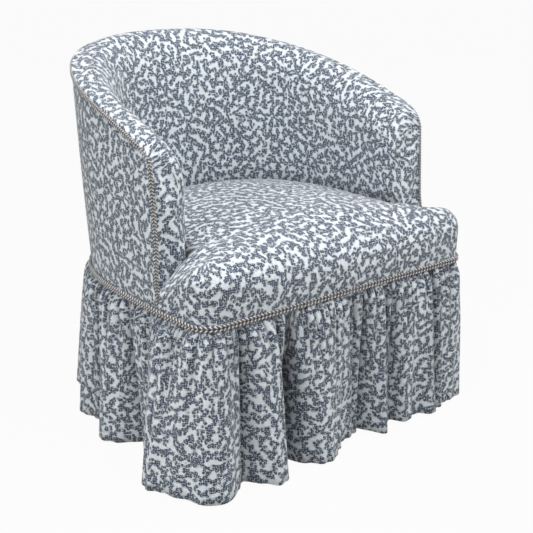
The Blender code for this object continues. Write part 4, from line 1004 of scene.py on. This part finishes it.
def edge_path():
    """The braid's line up the left arm's front edge and along the back, with the way out at each point."""
    side, ahead = np.array((-1.0, 0.0, 0.0)), np.array((0.0, -1.0, 0.0))
    front = arm_place(0.0)
    bend = slope_height(front) - ARM_CORNER
    line, way = [], []
    for z in np.linspace(BRAID_HEIGHT + BRAID_WIDTH / 2, bend, 40):
        line.append(tub_point(front, EDGE_LAP * min(max((z - SEAT_EDGE) / 0.03 + 1, 0.0), 1.0), z))
        way.append(0.6 * side + 0.8 * ahead)
    for a in np.linspace(0, math.pi / 2, 14)[1:]:
        place = arm_place(ARM_CORNER * (1 - math.cos(a)))
        z = slope_height(place) - ARM_CORNER + (ARM_CORNER - EDGE_LAP) * math.sin(a)
        line.append(tub_point(place, EDGE_LAP * math.cos(a), z))
        way.append((1 - 0.4 * math.cos(a)) * side + 0.8 * math.cos(a) * ahead)
    straight = [arm_place(d) for d in np.linspace(ARM_CORNER, ARM_FRONT_TOP, 16)[1:-1]]
    for place in straight + back_places(241)[:121]:
        z = edge_height(place) - EDGE_LAP
        line.append(tub_point(place, 0.0, z))
        way.append(line[-1] - tub_point(place, 0.02, z))
    way = np.array(way) / np.linalg.norm(way, axis=1)[:, None]
    return mirrored((np.array(line) + ON_EDGE * way)[None])[0], mirrored(way[None])[0]


spots, normals, _ = outline_ring(RING_POINTS)
line = np.column_stack([spots + ON_SKIRT * normals, np.full(RING_POINTS, BRAID_HEIGHT)])
way = np.column_stack([normals, np.zeros(RING_POINTS)])
skirt_braid = rope_braid("skirt_braid_rope", line, way, SKIRT_ROPE, True)
edge_braid = rope_braid("edge_braid_rope", *edge_path(), EDGE_ROPE, False)
for piece in (skirt_braid, edge_braid):
    print(piece.name, len(piece.data.polygons), "faces")

# %% [markdown]
# ## Dust cloth
# The black cloth under the frame is a copy of its CAD sheet, cut into small squares so that it can hang.
# It sags by a few millimetres between its tacked edges.

# %% Dust cloth
SAG = 0.004
SQUARES = 13     # along each side

select_only(NODES["dust_cover"])
bpy.ops.object.duplicate()
dust = bpy.context.object
dust.parent = None
dust.matrix_world = NODES["dust_cover"].matrix_world.copy()
bpy.ops.object.transform_apply(location=True, rotation=True, scale=True)
dust.name = "dust_cloth"
edit(dust, bpy.ops.mesh.remove_doubles, threshold=MERGED)
(x0, y0, _), (x1, y1, _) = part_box("dust_cover")
for axis, low, high in ((0, x0, x1), (1, y0, y1)):
    for place in np.linspace(low, high, SQUARES + 1)[1:-1]:
        spot, way = [0.0, 0.0, 0.0], [0.0, 0.0, 0.0]
        spot[axis], way[axis] = place, 1.0
        edit(dust, bpy.ops.mesh.bisect, plane_co=spot, plane_no=way)
points = coordinates(dust)
share = (np.clip(1 - (2 * (points[:, 0] - x0) / (x1 - x0) - 1) ** 2, 0, 1)
         * np.clip(1 - (2 * (points[:, 1] - y0) / (y1 - y0) - 1) ** 2, 0, 1))
points[:, 2] -= SAG * share
dust.data.vertices.foreach_set("co", points.ravel())
dust.data.materials.clear()
dust.data.materials.append(CAMBRIC)
dust.data.update()
print(dust.name, len(dust.data.polygons), "faces")

# %% [markdown]
# ## One frame
# Each soft piece stands for the CAD solids that it covers, and rides on the chair's only body. The CAD
# solids that it stands for are hidden.

# %% Pieces and their body
STANDS_FOR = {
    tub: ("printed_linen", ["inside_cover", "tub_pad", "tub_hessian"]),
    panel: ("printed_linen", ["outside_cover", "outside_wadding"]),
    seat: ("printed_linen", ["seat_cover", "seat_pad", "seat_hessian"]),
    skirt: ("printed_linen", ["skirt"]),
    skirt_braid: ("rope_braid", ["skirt_braid"]),
    edge_braid: ("rope_braid", ["edge_braid"]),
    dust: ("black_cambric", ["dust_cover"]),
}
for piece, (finish, nodes) in STANDS_FOR.items():
    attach(piece, "root")
    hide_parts(*nodes)
